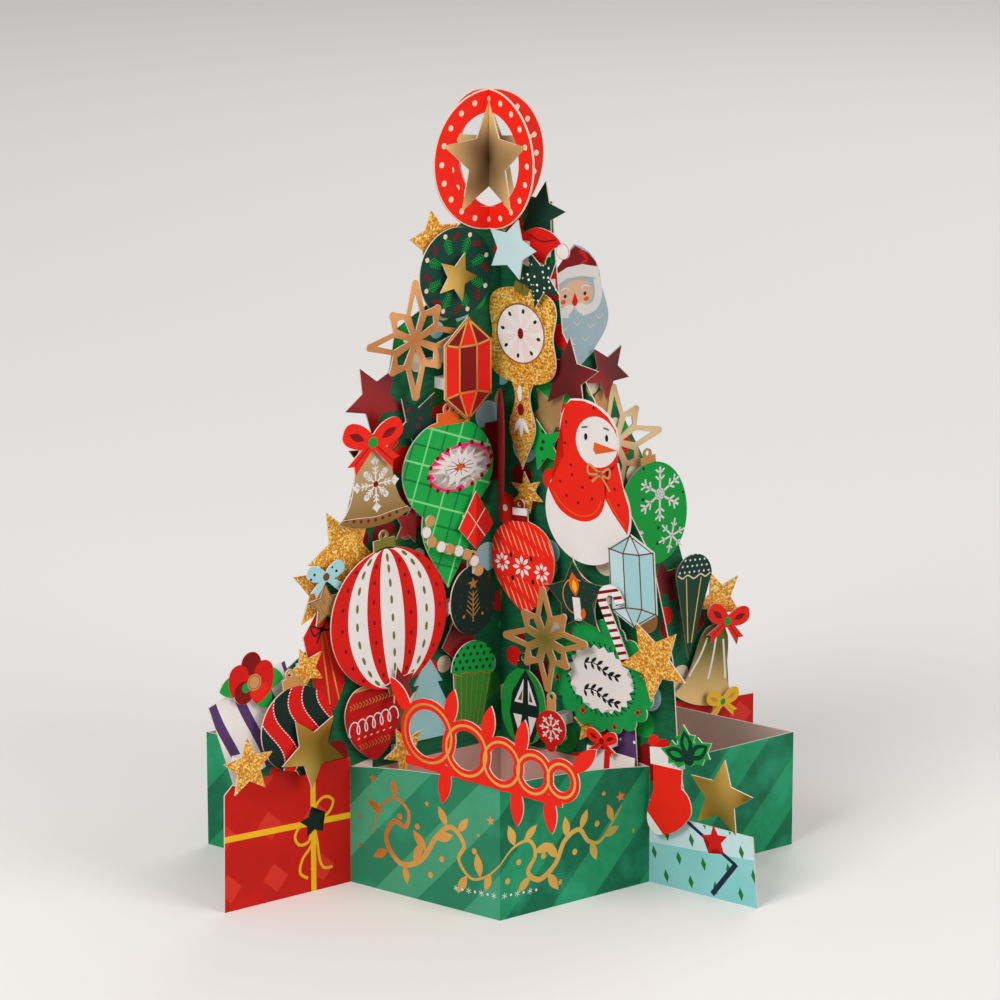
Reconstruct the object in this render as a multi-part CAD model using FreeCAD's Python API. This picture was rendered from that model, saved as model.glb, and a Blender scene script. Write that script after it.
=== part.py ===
import FreeCAD, Part
import math
import os

os.makedirs("parts", exist_ok=True)

# Sizes that drive the whole card, in millimetres
CARD = 0.5             # thickness of every sheet
LAYER_STEP = 2.0       # from one ornament layer to the next one out
HALF_WIDTH = 90.0      # base ring, from the axis to its left or right corner
HALF_DEPTH = 73.0      # base ring, from the axis to its front or rear corner
WALL_HEIGHT = 36.0
WALL_PEAK = 41.0       # top of the front wall at its fold
GLUE_FLAP = 8.0        # end flap of a wall, glued to a tree sheet
TREE_TOP = 193.0       # where both tree sheets end at the axis
TREE_JOINT = 97.0      # height at which the two slots meet
SLOT_PLAY = 0.3        # free width of a slot beyond the sheet that passes it
TOPPER_RADIUS = 21.0
TOPPER_BAND = 6.8      # width of the ring round the topper's star
TOPPER_SHIFT = -4.6    # topper's middle, along sheet A from the axis
TOPPER_LIFT = 0.2      # free height between the tree's top and the topper
EAR_HEIGHT = 4.5       # tabs beside the topper's foot, above the tree's top
PAD_SIDES = (3.4, 2.2)  # foam pads between the layers: usual size, and behind small pieces
PAD_REACH = 14.0       # how far from the middle of a piece a pad may sit
PAD_TRIES = 7          # places tried each way within that reach
AXIS_KEEP = 4.0        # pads stay this far from the axis of the tree

HALF_CARD = CARD / 2
TOPPER_HEIGHT = TREE_TOP + TOPPER_LIFT + TOPPER_RADIUS   # middle of the topper above the table
SHEET_TURN = math.degrees(math.atan2(HALF_DEPTH, HALF_WIDTH))
RING_REACH = math.hypot(HALF_WIDTH, HALF_DEPTH) / 2   # axis to the middle of a wall
FACE_TURN = {
    "a": SHEET_TURN,               # sheet A, side seen from the right front
    "b": -SHEET_TURN,              # sheet B, side seen from the left front
    "a_rear": SHEET_TURN + 180.0,
    "b_rear": 180.0 - SHEET_TURN,
}


def at(x, y, z=0.0):
    return FreeCAD.Vector(x, y, z)


# Flat outlines: every shape lies in the XY plane and is one sheet thick

def curve(points):
    """A line through 2 points, an arc through 3, a smooth curve through more."""
    places = [at(x, y) for x, y in points]
    if len(places) == 2:
        return Part.makeLine(places[0], places[1])
    if len(places) == 3:
        return Part.Arc(places[0], places[1], places[2]).toShape()
    spline = Part.BSplineCurve()
    spline.interpolate(places)
    return spline.toShape()


def cut_out(*runs):
    """Sheet bounded by runs of points that follow one another round the edge."""
    wire = Part.Wire([curve(run) for run in runs])
    solid = Part.Face(wire).extrude(at(0, 0, CARD))
    if solid.Volume < 0:
        solid.reverse()
    return solid


def symmetric(*runs):
    """Sheet with the same edge on both sides, given from its top to its foot."""
    left = [[(-x, y) for x, y in reversed(run)] for run in reversed(runs)]
    return cut_out(*runs, *left)


def polygon(*points):
    closed = list(points) + [points[0]]
    return cut_out(*[[closed[i], closed[i + 1]] for i in range(len(points))])


def disc(x, y, radius):
    return Part.makeCylinder(radius, CARD, at(x, y))


def box(x, y, width, height):
    return Part.makeBox(width, height, CARD, at(x - width / 2, y - height / 2))


def bar(start, end, width):
    """Straight strip of the given width with square ends."""
    dx, dy = end[0] - start[0], end[1] - start[1]
    length = math.hypot(dx, dy)
    sx, sy = -dy / length * width / 2, dx / length * width / 2
    return polygon((start[0] + sx, start[1] + sy), (start[0] - sx, start[1] - sy),
                   (end[0] - sx, end[1] - sy), (end[0] + sx, end[1] + sy))


def join(first, *others):
    return first.fuse(list(others)).removeSplitter()


def spot(radius, degrees):
    """Point at a radius and an angle counted from the upright, anticlockwise."""
    return (-radius * math.sin(math.radians(degrees)), radius * math.cos(math.radians(degrees)))


def moved(shape, x, y, turn=0.0):
    placed = shape.copy()
    rotation = FreeCAD.Rotation(at(0, 0, 1), turn)
    placed.Placement = FreeCAD.Placement(at(x, y), rotation).multiply(shape.Placement)
    return placed


def star(radius, points=5, waist=0.46):
    corners = []
    for i in range(2 * points):
        reach = radius if i % 2 == 0 else radius * waist
        corners.append(spot(reach, 180.0 / points * i))
    return polygon(*corners)


def curved_star(radius, points, waist):
    """Star whose tips are joined by hollow arcs."""
    step = 360.0 / points
    return cut_out(*[[spot(radius, step * i), spot(radius * waist, step * (i + 0.5)),
                      spot(radius, step * (i + 1))] for i in range(points)])


def cap(y, width, height):
    """Metal cap of a bauble with its hanging ring."""
    ring = disc(0, y + height + 1.0, 1.7).cut(disc(0, y + height + 1.2, 0.8))
    return join(box(0, y + height / 2, width, height), ring)


# Ornament outlines, each about its own middle

def beside(radius, degrees, aside):
    """Point at a radius, moved sideways from the line that goes out at that angle."""
    x, y = spot(radius, degrees)
    sx, sy = spot(aside, degrees + 90)
    return (x + sx, y + sy)


def open_star(long_reach, short_reach, hub=0.26, band=1.8, tip=1.2):
    """Eight arms with round tips, each arm with a kite shaped window; `hub` is the share left solid."""
    waist = short_reach * 0.68
    half_arm = waist * math.sin(math.radians(22.5))
    corners, tips, windows = [], [], []
    for i in range(8):
        reach = long_reach if i % 2 == 0 else short_reach
        turn = 45.0 * i
        corners += [beside(reach - tip, turn, -tip), beside(reach - tip, turn, tip), spot(waist, turn + 22.5)]
        tips.append(disc(*spot(reach - tip, turn), tip))
        side = half_arm - 0.85 * band
        windows.append(polygon(spot(reach - 2.1 * band, turn), beside(waist * 0.88, turn, side),
                               spot(waist * hub, turn), beside(waist * 0.88, turn, -side)))
    return join(polygon(*corners), *tips).cut(windows)


def round_bauble(radius, cap_width=8.0):
    return join(disc(0, 0, radius), cap(radius - 1.0, cap_width, 4.0), disc(0, -radius, 1.9))


def oval_bauble(half_width, half_height, cap_width=6.0):
    body = symmetric([(0, half_height), (half_width * 0.72, half_height * 0.7), (half_width, 0),
                      (half_width * 0.72, -half_height * 0.7), (0, -half_height)])
    return join(body, cap(half_height - 1.0, cap_width, 3.0))


def plaid_bauble():
    body = symmetric([(0, 14), (11, 11.5), (17.2, 0.5), (14.5, -8.5), (9.6, -13.5)],
                     [(9.6, -13.5), (8.8, -22.5), (4.2, -30.5), (0, -37)])
    return join(body, cap(13, 8, 4))


def crystal(half_width, shoulder, reach):
    return polygon((0, reach), (half_width, shoulder), (half_width, -shoulder), (0, -reach),
                   (-half_width, -shoulder), (-half_width, shoulder))


def kite(half_width, up, down):
    return polygon((0, up), (half_width, 0), (0, -down), (-half_width, 0))


def bell():
    return symmetric([(0, 12.6), (4.2, 11.0), (6.6, 4.5), (8.4, -4.0), (13.4, -10.6)],
                     [(13.4, -10.6), (7.2, -12.9), (0, -13.6)])


def bow(span):
    """Two loops, two tails and a knot."""
    s = span / 20.0
    loop = symmetric([(0, 0), (3.4 * s, 8.0 * s), (2.0 * s, 10.6 * s), (0, 11.0 * s)][::-1])
    tail = polygon((-1.2 * s, 0), (1.2 * s, 0), (2.4 * s, -10.5 * s), (0.2 * s, -9.0 * s),
                   (-1.6 * s, -10.8 * s))
    return join(disc(0, 0, 2.4 * s), moved(loop, 0, 0, 68), moved(loop, 0, 0, -68),
                moved(tail, 0, 0, -48), moved(tail, 0, 0, 48))


def flower(radius):
    petals = [disc(*spot(radius * 0.58, 72 * i), radius * 0.44) for i in range(5)]
    leaf = symmetric([(0, radius * 1.45), (radius * 0.38, radius), (0, 0)])
    leaves = [moved(leaf, 0, 0, turn) for turn in (100, 215, 262)]
    return join(disc(0, 0, radius * 0.5), *petals, *leaves)


def bearded_figure():
    """Head in a pointed cap with a long beard that ends in a tip."""
    hood = cut_out([(-11.0, 3.2), (-5.5, 10.5), (-0.8, 15.4)], [(-0.8, 15.4), (5.0, 12.2), (8.8, 6.6)],
                   [(8.8, 6.6), (-11.0, 3.2)])
    beard = cut_out([(-9.8, 3.6), (-10.4, -3.0), (-8.2, -12.0), (-3.0, -18.2), (1.7, -22.4)],
                    [(1.7, -22.4), (8.0, -16.8), (12.6, -9.0), (10.8, -1.0), (9.0, 6.4)],
                    [(9.0, 6.4), (-9.8, 3.6)])
    return join(hood, beard)


def snowman():
    """Round body, round head and a hood whose point leans to one side."""
    hood = cut_out([(-9.6, 18.4), (-10.2, 27.6), (-6.8, 33.6)], [(-6.8, 33.6), (2.0, 33.4), (8.6, 29.6)],
                   [(8.6, 29.6), (-9.6, 18.4)])
    cape = polygon((-9.0, 16.5), (11.2, 16.5), (13.6, 7.0), (-14.2, 7.0))
    return join(disc(0, 0, 16.0), disc(1.2, 22.4, 10.3), hood, cape)


def clock():
    """Waisted case with round corners, a finial, and a pendulum below."""
    case = symmetric([(0, 16.6), (2.4, 14.2)],
                     [(2.4, 14.2), (7.6, 13.6), (11.8, 11.0), (12.7, 7.2), (11.5, 0), (12.7, -7.2),
                      (11.4, -11.4), (6.8, -14.0), (0, -15.2)])
    rod = symmetric([(0, -12), (3.9, -15.0)], [(3.9, -15.0), (3.0, -21), (4.9, -27.5), (2.6, -35), (0, -41)])
    return join(case, rod)


def cupcake():
    return symmetric([(0, 11.5), (6.2, 8.6), (8.2, 2.2)], [(8.2, 2.2), (7.3, 1.4)],
                     [(7.3, 1.4), (5.2, -15)], [(5.2, -15), (0, -15)])


def dotted_cone():
    return symmetric([(0, 6.6), (5.3, 4.5), (7.4, 0)], [(7.4, 0), (0, -27.5)])


def curl_bauble():
    body = symmetric([(0, 10.6), (7.4, 9.8), (10.0, 5.8), (9.7, -1.8), (5.6, -8.4), (0, -12.4)])
    return join(body, cap(10.0, 6.0, 2.4))


def pine(width, height):
    """Fir tree of three stepped tiers."""
    w = width / 2
    h = height / 3
    return symmetric([(0, 1.5 * h), (w * 0.55, 0.5 * h)], [(w * 0.55, 0.5 * h), (w * 0.35, 0.5 * h)],
                     [(w * 0.35, 0.5 * h), (w * 0.8, -0.5 * h)], [(w * 0.8, -0.5 * h), (w * 0.55, -0.5 * h)],
                     [(w * 0.55, -0.5 * h), (w, -1.5 * h)], [(w, -1.5 * h), (0, -1.5 * h)])


def snow_bauble():
    """Peg top shape with wide shoulders and a tall cap."""
    body = symmetric([(0, 14.4), (4.8, 13.4), (9.8, 10.0), (11.9, 4.6), (11.5, -1.4), (7.2, -8.8),
                      (0, -15.0)])
    return join(body, cap(13.4, 5.6, 4.6))


def green_plaque():
    """Scalloped oval on a stem, with a white field printed in its middle."""
    bumps = [disc(17.4 * math.cos(math.radians(20 * i)), 14.4 * math.sin(math.radians(20 * i)), 3.0)
             for i in range(18)]
    field = symmetric([(0, 16.0), (12.0, 11.0), (17.4, 0), (12.0, -11.0), (0, -16.0)])
    return join(field, symmetric([(0, 21.5), (3.2, 17.5), (4.4, 12.0)], [(4.4, 12.0), (0, 12.0)]), *bumps)


def candy_cane(height, radius, width):
    outer, inner = radius + width / 2, radius - width / 2
    hook = disc(0, 0, outer).cut(disc(0, 0, inner)).cut(box(0, -outer, 2 * outer, 2 * outer))
    tip = box(radius, -1.2, width, 2.4)
    return join(hook, tip, box(-radius, -height / 2, width, height))


def stocking():
    cuff = polygon((-6.2, 14.0), (6.0, 15.4), (6.6, 9.4), (-5.8, 8.6))
    foot = cut_out([(-4.9, 9.5), (-4.6, 1.5)], [(-4.6, 1.5), (-6.5, -4.6), (-6.9, -9.2), (-3.2, -12.8)],
                   [(-3.2, -12.8), (3.6, -10.4), (9.2, -4.4)], [(9.2, -4.4), (8.4, 0.6), (5.6, 3.2)],
                   [(5.6, 3.2), (5.9, 10.0)], [(5.9, 10.0), (-4.9, 9.5)])
    return join(cuff, foot)


def holly():
    """Three prickly leaves on one heart."""
    leaf = polygon((0, 10.5), (1.7, 7.4), (3.8, 7.0), (2.8, 5.2), (3.9, 3.4), (1.2, 0),
                   (-1.2, 0), (-3.9, 3.4), (-2.8, 5.2), (-3.8, 7.0), (-1.7, 7.4))
    return join(moved(leaf, 0, 0, 12), moved(leaf, 0, 0, 82), moved(leaf, 0, 0, -52), disc(0, 0, 2.2))


def red_cap():
    """Pointed cap that falls over to a round pompon."""
    felt = cut_out([(-8.6, -2.6), (-5.0, 4.0), (2.2, 5.2)], [(2.2, 5.2), (6.4, 3.4), (8.6, 0.8)],
                   [(8.6, 0.8), (3.6, -1.4), (1.8, -5.6)], [(1.8, -5.6), (-8.6, -2.6)])
    return join(felt, disc(8.6, -0.6, 2.4), bar((-9.4, -3.6), (2.4, -7.0), 3.2))


def bead_string(places):
    links = [bar(places[i], places[i + 1], 1.0) for i in range(len(places) - 1)]
    return join(disc(*places[0], 1.7), *[disc(x, y, 1.7) for x, y in places[1:]], *links)


def scroll():
    """Open scrollwork of linked rings with a leaf at both ends."""
    rings = [(-25.0, 1.5, 10.5), (-10.3, 0, 9.2), (3.0, -0.6, 8.2), (14.8, -0.6, 7.4), (25.2, 0.2, 6.6)]
    band = 3.2
    shape = None
    for x, y, radius in rings:
        ring = disc(x, y, radius).cut(disc(x, y, radius - band))
        shape = ring if shape is None else shape.fuse(ring)
    leaf = symmetric([(0, 11.0), (2.3, 6.0), (1.2, 0)], [(1.2, 0), (0, 0)])
    leaves = [moved(leaf, -33.0, 7.0, 42), moved(leaf, -17.6, 6.6, -8), moved(leaf, -3.2, 5.0, -6),
              moved(leaf, 9.4, 4.0, -6), moved(leaf, 29.6, 4.6, -42), moved(leaf, 9.0, -7.0, 186),
              moved(leaf, 21.0, -6.0, 190), moved(leaf, -17.4, -7.6, 176)]
    foot = bar((-33.0, -8.4), (26.0, -6.4), 2.8)
    return join(shape, foot, *leaves)


# Placing pieces on the tree sheets

def stand(shape, turn, along, height, tilt=0.0, lift=0.0, foot=(0.0, 0.0)):
    """Stand a flat shape upright: along the turned plane, at a height, lifted off it."""
    upright = FreeCAD.Rotation(at(0, 0, 1), turn).multiply(FreeCAD.Rotation(at(1, 0, 0), 90))
    base = at(*foot) + upright.multVec(at(along, height, lift))
    placed = shape.copy()
    turned = upright.multiply(FreeCAD.Rotation(at(0, 0, 1), tilt))
    placed.Placement = FreeCAD.Placement(base, turned).multiply(shape.Placement)
    return placed


nodes = {}
layout = {face: [] for face in FACE_TURN}


def keep(node, solid):
    nodes.setdefault(node, []).append(solid)


def glue(node, shape, face, along, height, tilt=0.0, layer=0, pads=()):
    """Put a piece on one face of a tree sheet, on the given layer above it."""
    lift = HALF_CARD + layer * LAYER_STEP
    keep(node, stand(shape, FACE_TURN[face], along, height, tilt, lift))
    flat = moved(shape, along, height, tilt)
    layout[face].append({"node": node, "flat": flat, "layer": layer, "bounds": flat.BoundBox, "pads": pads})


def covers(item, x, y):
    bounds = item["bounds"]
    if not (bounds.XMin < x < bounds.XMax and bounds.YMin < y < bounds.YMax):
        return False
    return item["flat"].isInside(at(x, y, HALF_CARD), 0.001, False)


def seat_of(item, pieces, x, y):
    """Layer of the highest piece behind this point, or -1 for the tree sheet itself."""
    below = [p["layer"] for p in pieces if p["layer"] < item["layer"] and covers(p, x, y)]
    return max(below) if below else None


def pad_places(item, pieces, side):
    """Up to two places where the piece and what lies behind it both fill the pad."""
    bounds = item["bounds"]
    mid_x, mid_y = (bounds.XMin + bounds.XMax) / 2, (bounds.YMin + bounds.YMax) / 2
    steps = range(-PAD_TRIES, PAD_TRIES + 1)
    stride = PAD_REACH / PAD_TRIES
    spots = list(item["pads"]) or [(mid_x + i * stride, mid_y + j * stride) for i in steps for j in steps]
    spots.sort(key=lambda p: math.hypot(p[0] - mid_x, p[1] - mid_y))
    corners = [(i * side / 2, j * side / 2) for i in (-1, 0, 1) for j in (-1, 0, 1)]
    found = []
    for x, y in spots:
        if len(found) == 2:
            break
        in_flap = abs(x) > RING_REACH - GLUE_FLAP - side and y < WALL_HEIGHT + side
        if abs(x) < AXIS_KEEP or (in_flap and abs(x) < RING_REACH + side):
            continue
        if any(math.hypot(x - fx, y - fy) < 2 * side for fx, fy, _ in found):
            continue
        if not all(covers(item, x + dx, y + dy) for dx, dy in corners):
            continue
        seats = {seat_of(item, pieces, x + dx, y + dy) for dx, dy in corners}
        if len(seats) == 1 and None not in seats:
            found.append((x, y, seats.pop()))
    return found


def add_pads(face, sheet_flat):
    """Foam pads behind every raised piece of one face."""
    sheet_item = {"flat": sheet_flat, "layer": -1, "bounds": sheet_flat.BoundBox}
    pieces = [sheet_item] + layout[face]
    for item in layout[face]:
        if item["layer"] == 0:
            continue
        for side in PAD_SIDES:
            places = pad_places(item, pieces, side)
            if places:
                break
        else:
            print("no room for a pad behind", item["node"], "layer", item["layer"], "on face", face)
        for x, y, seat in places:
            start = HALF_CARD if seat < 0 else HALF_CARD + seat * LAYER_STEP + CARD
            depth = HALF_CARD + item["layer"] * LAYER_STEP - start
            pad = Part.makeBox(side, side, depth, at(-side / 2, -side / 2))
            keep("foam_pads", stand(pad, FACE_TURN[face], x, y, 0, start))


# Tree sheets: two die cut sheets that slot into one another at the axis.
# Their lower ends stand out past the base ring as printed presents.
SLOT_WIDTH = CARD / math.sin(math.radians(2 * SHEET_TURN)) + SLOT_PLAY
EAR_TOP = TREE_TOP + EAR_HEIGHT
EAR_GAP = 1.2                                          # from the crossing disc to each tab
LEFT_EAR = [(12.6, EAR_TOP), (EAR_GAP - TOPPER_SHIFT, EAR_TOP), (EAR_GAP - TOPPER_SHIFT, TREE_TOP)]
RIGHT_EAR = [(6.0, EAR_TOP), (1.6, EAR_TOP), (1.6, TREE_TOP)]


def tree_edge(side, points):
    return [(side * along, height) for along, height in points]


PRESENT_HIGH = [(104.5, 0.0), (104.0, 36.0), (82.0, 38.0), (62.0, 36.5)]
PRESENT_REAR = [(104.5, 0.0), (104.5, 29.5), (94.0, 30.0)]
PRESENT_LOW = [(98.0, 0.0), (96.0, 21.5), (72.0, 22.0), (62.0, 17.0)]

a_left = PRESENT_HIGH[:2] + [(97.0, 42.0), (94.0, 60.0), (80.0, 71.0), (70.0, 77.0), (67.0, 95.0),
                             (61.0, 106.0), (54.0, 128.0), (46.0, 144.0), (42.0, 156.0), (40.0, 167.0),
                             (28.0, 173.0), (25.0, 190.0)] + LEFT_EAR
a_right = PRESENT_REAR + [(92.0, 56.0), (78.0, 66.0), (70.0, 90.0), (56.0, 116.0), (42.0, 140.0),
                          (30.0, 164.0), (20.0, 182.0)] + RIGHT_EAR
b_right = PRESENT_LOW[:3] + [(68.0, 44.0), (66.0, 70.0), (58.0, 100.0), (46.0, 118.0), (38.0, 142.0),
                             (24.0, 164.0), (21.0, 188.0), (20.0, TREE_TOP + 10), (9.0, TREE_TOP + 10),
                             (2.2, TREE_TOP - 1)]
b_left = PRESENT_LOW + [(60.0, 72.0), (58.0, 100.0), (50.0, 122.0), (40.0, 146.0), (28.0, 168.0),
                        (14.0, 188.0), (2.2, TREE_TOP - 1)]


def tree_outline(left, right):
    outline = tree_edge(-1, left) + [(0.0, TREE_TOP)] + tree_edge(1, right)[::-1]
    return polygon(*outline)


def slot(bottom, top):
    return box(0, (bottom + top) / 2, SLOT_WIDTH, top - bottom)


flat_a = tree_outline(a_left, a_right).cut(slot(TREE_JOINT, TREE_TOP + 10))
flat_b = tree_outline(b_left, b_right).cut(slot(-10, TREE_JOINT))
keep("tree_sheet_a", stand(flat_a, FACE_TURN["a"], 0, 0, 0, -HALF_CARD))
keep("tree_sheet_b", stand(flat_b, FACE_TURN["b"], 0, 0, 0, -HALF_CARD))

# Base ring: four strips, each folded once at a corner of the ring.
# Both ends of a strip turn inwards as flaps glued to the tree sheets.


def unit(x, y):
    length = math.hypot(x, y)
    return (x / length, y / length)


def inset(line, thickness):
    """The same folded line, moved to its left by one sheet and mitred at the folds."""
    moved_points = []
    for i, (x, y) in enumerate(line):
        normals = []
        for a, b in ((i - 1, i), (i, i + 1)):
            if a >= 0 and b < len(line):
                dx, dy = unit(line[b][0] - line[a][0], line[b][1] - line[a][1])
                normals.append((-dy, dx))
        nx = sum(n[0] for n in normals) / len(normals)
        ny = sum(n[1] for n in normals) / len(normals)
        square = nx * nx + ny * ny
        moved_points.append((x + nx * thickness / square, y + ny * thickness / square))
    return moved_points


def wall(corner, first, last, height):
    """Folded strip from one wall middle round a corner to the next, seen from above."""
    line = []
    for middle, inward_first in ((first, True), (last, False)):
        sheet = unit(*middle)
        along = unit(corner[0] - middle[0], corner[1] - middle[1])
        cross = abs(sheet[0] * along[1] - sheet[1] * along[0])
        start = (middle[0] + along[0] * HALF_CARD / cross, middle[1] + along[1] * HALF_CARD / cross)
        flap_end = (start[0] - sheet[0] * GLUE_FLAP, start[1] - sheet[1] * GLUE_FLAP)
        line += [flap_end, start] if inward_first else [start, flap_end]
    line.insert(2, corner)
    ring = line + inset(line, CARD)[::-1]
    wire = Part.makePolygon([at(x, y) for x, y in ring + ring[:1]])
    return Part.Face(wire).extrude(at(0, 0, height))


FRONT, RIGHT = (0.0, -HALF_DEPTH), (HALF_WIDTH, 0.0)
REAR, LEFT = (0.0, HALF_DEPTH), (-HALF_WIDTH, 0.0)


def middle_of(p, q):
    return ((p[0] + q[0]) / 2, (p[1] + q[1]) / 2)


arch_edge = [(-HALF_WIDTH / 2, WALL_HEIGHT), (0.0, WALL_PEAK), (HALF_WIDTH / 2, WALL_HEIGHT)]
arch_ends = [(HALF_WIDTH / 2, WALL_HEIGHT), (HALF_WIDTH / 2, 0.0), (-HALF_WIDTH / 2, 0.0), arch_edge[0]]
arch_wire = Part.Wire([curve(arch_edge)] + [curve(arch_ends[i:i + 2]) for i in range(3)])
arch = Part.Face(arch_wire).extrude(at(0, 0, HALF_DEPTH))
arch.Placement = FreeCAD.Placement(at(0, 0, 0), FreeCAD.Rotation(at(1, 0, 0), 90))

left_front, right_front = middle_of(LEFT, FRONT), middle_of(FRONT, RIGHT)
right_rear, left_rear = middle_of(RIGHT, REAR), middle_of(REAR, LEFT)
keep("wall_front", wall(FRONT, left_front, right_front, WALL_PEAK).common(arch))
keep("wall_right", wall(RIGHT, right_front, right_rear, WALL_HEIGHT))
keep("wall_rear", wall(REAR, right_rear, left_rear, WALL_HEIGHT))
keep("wall_left", wall(LEFT, left_rear, left_front, WALL_HEIGHT))

# Topper: two ringed stars that slot into one another, square to each other
ring_inside = TOPPER_RADIUS - TOPPER_BAND
topper = disc(0, 0, TOPPER_RADIUS).cut(disc(0, 0, ring_inside))
topper = topper.fuse(star(ring_inside + 3.4)).removeSplitter()
topper_slot = CARD + SLOT_PLAY
upper_slot = box(0, TOPPER_RADIUS, topper_slot, 2 * TOPPER_RADIUS)
topper_a = topper.cut(upper_slot)
topper_b = topper.cut(moved(upper_slot, 0, -2 * TOPPER_RADIUS))
turn_a = FACE_TURN["a"]
axis_a = (math.cos(math.radians(turn_a)), math.sin(math.radians(turn_a)))
out_a = (math.sin(math.radians(turn_a)), -math.cos(math.radians(turn_a)))
topper_foot = (axis_a[0] * TOPPER_SHIFT + out_a[0] * CARD, axis_a[1] * TOPPER_SHIFT + out_a[1] * CARD)
keep("topper_disc_a", stand(topper_a, turn_a, 0, TOPPER_HEIGHT, 0, -HALF_CARD, topper_foot))
keep("topper_disc_b", stand(topper_b, turn_a + 90, 0, TOPPER_HEIGHT, 0, -HALF_CARD, topper_foot))

# Sheet A, left front half
glue("striped_present", box(0, 0, 29, 27), "a", -91.4, 55.8, 19, 0)
glue("red_tag", polygon((0, 15.5), (6, 10), (5.5, -9), (0, -16), (-5.5, -9), (-6, 10)),
     "a", -67.2, 70.5, 12, 0)
glue("glitter_stars", star(14.0), "a", -59.4, 103.3, 29, 0)
glue("ruby_stars", star(11.5), "a", -47.8, 147.2, 30, 0)
glue("blue_tree", pine(20.0, 26.0), "a", -28.4, 52.4, 0, 0)
glue("red_flower", flower(8.0), "a", -95.6, 70.6, 0, 1)
glue("glitter_stars", star(7.0), "a", -75.4, 70.0, 21, 1)
glue("wood_star", join(star(7.0), moved(bow(13.0), 0.6, 8.6, 0)), "a", -68.0, 88.2, 4, 1, [(-66.7, 87.4)])
glue("glitter_stars", star(9.6, 5, 0.54), "a", -25.2, 191.8, 9, 0)
glue("green_stars", star(10.6), "a", -33.2, 138.0, 37, 1)
glue("fir_wreath", disc(0, 0, 13.7), "a", -18.9, 181.8, 0, 1)
glue("ruby_stars", star(6.4), "a", -36.8, 107.9, -16, 1)
glue("ruby_kite", kite(6.4, 8.8, 7.0), "a", -18.2, 68.0, 6, 1)
glue("curl_bauble", curl_bauble(), "a", -50.8, 49.6, 4, 1)
glue("candy_ball", round_bauble(13.0, 6.0), "a", -80.6, 53.2, 8, 2)
glue("striped_bauble", round_bauble(21.7), "a", -46.2, 80.9, 4, 2)
glue("plaid_bauble", plaid_bauble(), "a", -23.7, 123.5, 0, 2)
glue("bell_left", bell(), "a", -51.6, 123.5, 2, 2)
glue("openwork_star_left", open_star(18.2, 13.2), "a", -35.8, 163.9, 0, 2)
glue("foil_stars", star(7.6), "a", -19.9, 180.9, -22, 2)
glue("cupcake", cupcake(), "a", -14.6, 57.0, -5, 2)
glue("glitter_stars", star(8.2), "a", -40.2, 38.6, 25, 2)
glue("red_crystal", crystal(8.9, 8.2, 15.8), "a", -17.6, 153.2, 0, 3)
glue("red_bows", bow(21.0), "a", -53.4, 136.0, 0, 3)
glue("red_kite", kite(6.6, 10.8, 7.0), "a", -14.6, 104.6, 0, 3)
glue("green_oval", oval_bauble(8.6, 10.8, 4.0), "a", -15.9, 81.8, 0, 3)
glue("ruby_stars", star(5.9), "a", -43.6, 60.4, 13, 3)
glue("glitter_stars", star(9.2), "a", -99.8, 45.4, 3, 3)
glue("foil_stars", star(11.8), "a", -76.2, 46.2, 33, 3)
beads = [(-33.6, 109.5), (-35.1, 106.2), (-33.0, 103.0), (-29.6, 101.0), (-26.3, 99.7),
         (-22.9, 98.6), (-19.6, 97.0), (-16.9, 94.6), (-15.2, 91.4)]
glue("bead_garland", bead_string(beads), "a", 0, 0, 0, 4, [beads[4], beads[8]])

# Sheet A, right rear half
glue("bearded_figure", bearded_figure(), "a", 29.4, 169.2, 0, 0)
glue("openwork_star_right", open_star(18.6, 13.4), "a", 45.6, 120.8, 4, 0)
glue("ruby_stars", star(8.0), "a", 65.3, 72.8, 10, 0)
glue("glitter_stars", star(10.2), "a", 89.0, 63.2, 22, 0)
glue("snowflake_bauble", oval_bauble(13.6, 16.6), "a", 59.4, 96.4, 8, 1)
glue("ruby_stars", star(9.2), "a", 40.2, 144.2, -37, 1)
glue("bell_right", bell(), "a", 83.6, 43.6, -13, 1)
glue("dotted_cone", dotted_cone(), "a", 74.6, 74.6, -4, 2)
glue("red_bows", bow(17.0), "a", 89.0, 57.0, -13, 2)
glue("yellow_bow", bow(13.0), "a", 87.4, 30.8, 0, 2)

# Sheet B, right front half
glue("green_stars", star(9.6), "b", 16.0, 199.6, -12, 0)
glue("plain_star", star(9.0), "b", 19.6, 138.6, -38, 0)
glue("red_cap", red_cap(), "b", 17.4, 189.6, 0, 1)
glue("ruby_stars", star(11.8), "b", 28.0, 151.8, -4, 1)
glue("green_stars", star(8.2), "b", 18.8, 129.4, 20, 1)
glue("glitter_stars", star(6.4, 6), "b", 12.6, 114.0, 10, 1)
glue("purple_gift", box(0, 0, 11.0, 26.0), "b", RING_REACH - 8.4, 34.5, 4, 1)
glue("clock", clock(), "b", 12.4, 162.4, 0, 2)
glue("snowman", snowman(), "b", 37.4, 112.0, 0, 2)
glue("snow_bauble", snow_bauble(), "b", 12.8, 91.4, 4, 2)
glue("green_plaque", green_plaque(), "b", 42.4, 62.4, -14, 2)
glue("diamond_bauble", oval_bauble(8.6, 12.2, 4.6), "b", 12.9, 47.4, 0, 2)
glue("white_gift", box(0, 0, 18.0, 20.0), "b", RING_REACH - 12.0, 29.6, -3, 2)
glue("green_stars", star(9.0), "b", 20.2, 180.6, 26, 3)
glue("candle_star", curved_star(12.6, 5, 0.56), "b", 34.8, 85.8, 8, 3)
glue("blue_crystal", crystal(8.5, 9.4, 14.2), "b", 55.8, 94.2, 4, 3)
glue("red_bows", bow(11.0), "b", 44.6, 43.0, 0, 3)
glue("glitter_stars", star(6.2), "b", 36.6, 45.2, 0, 1)
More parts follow.
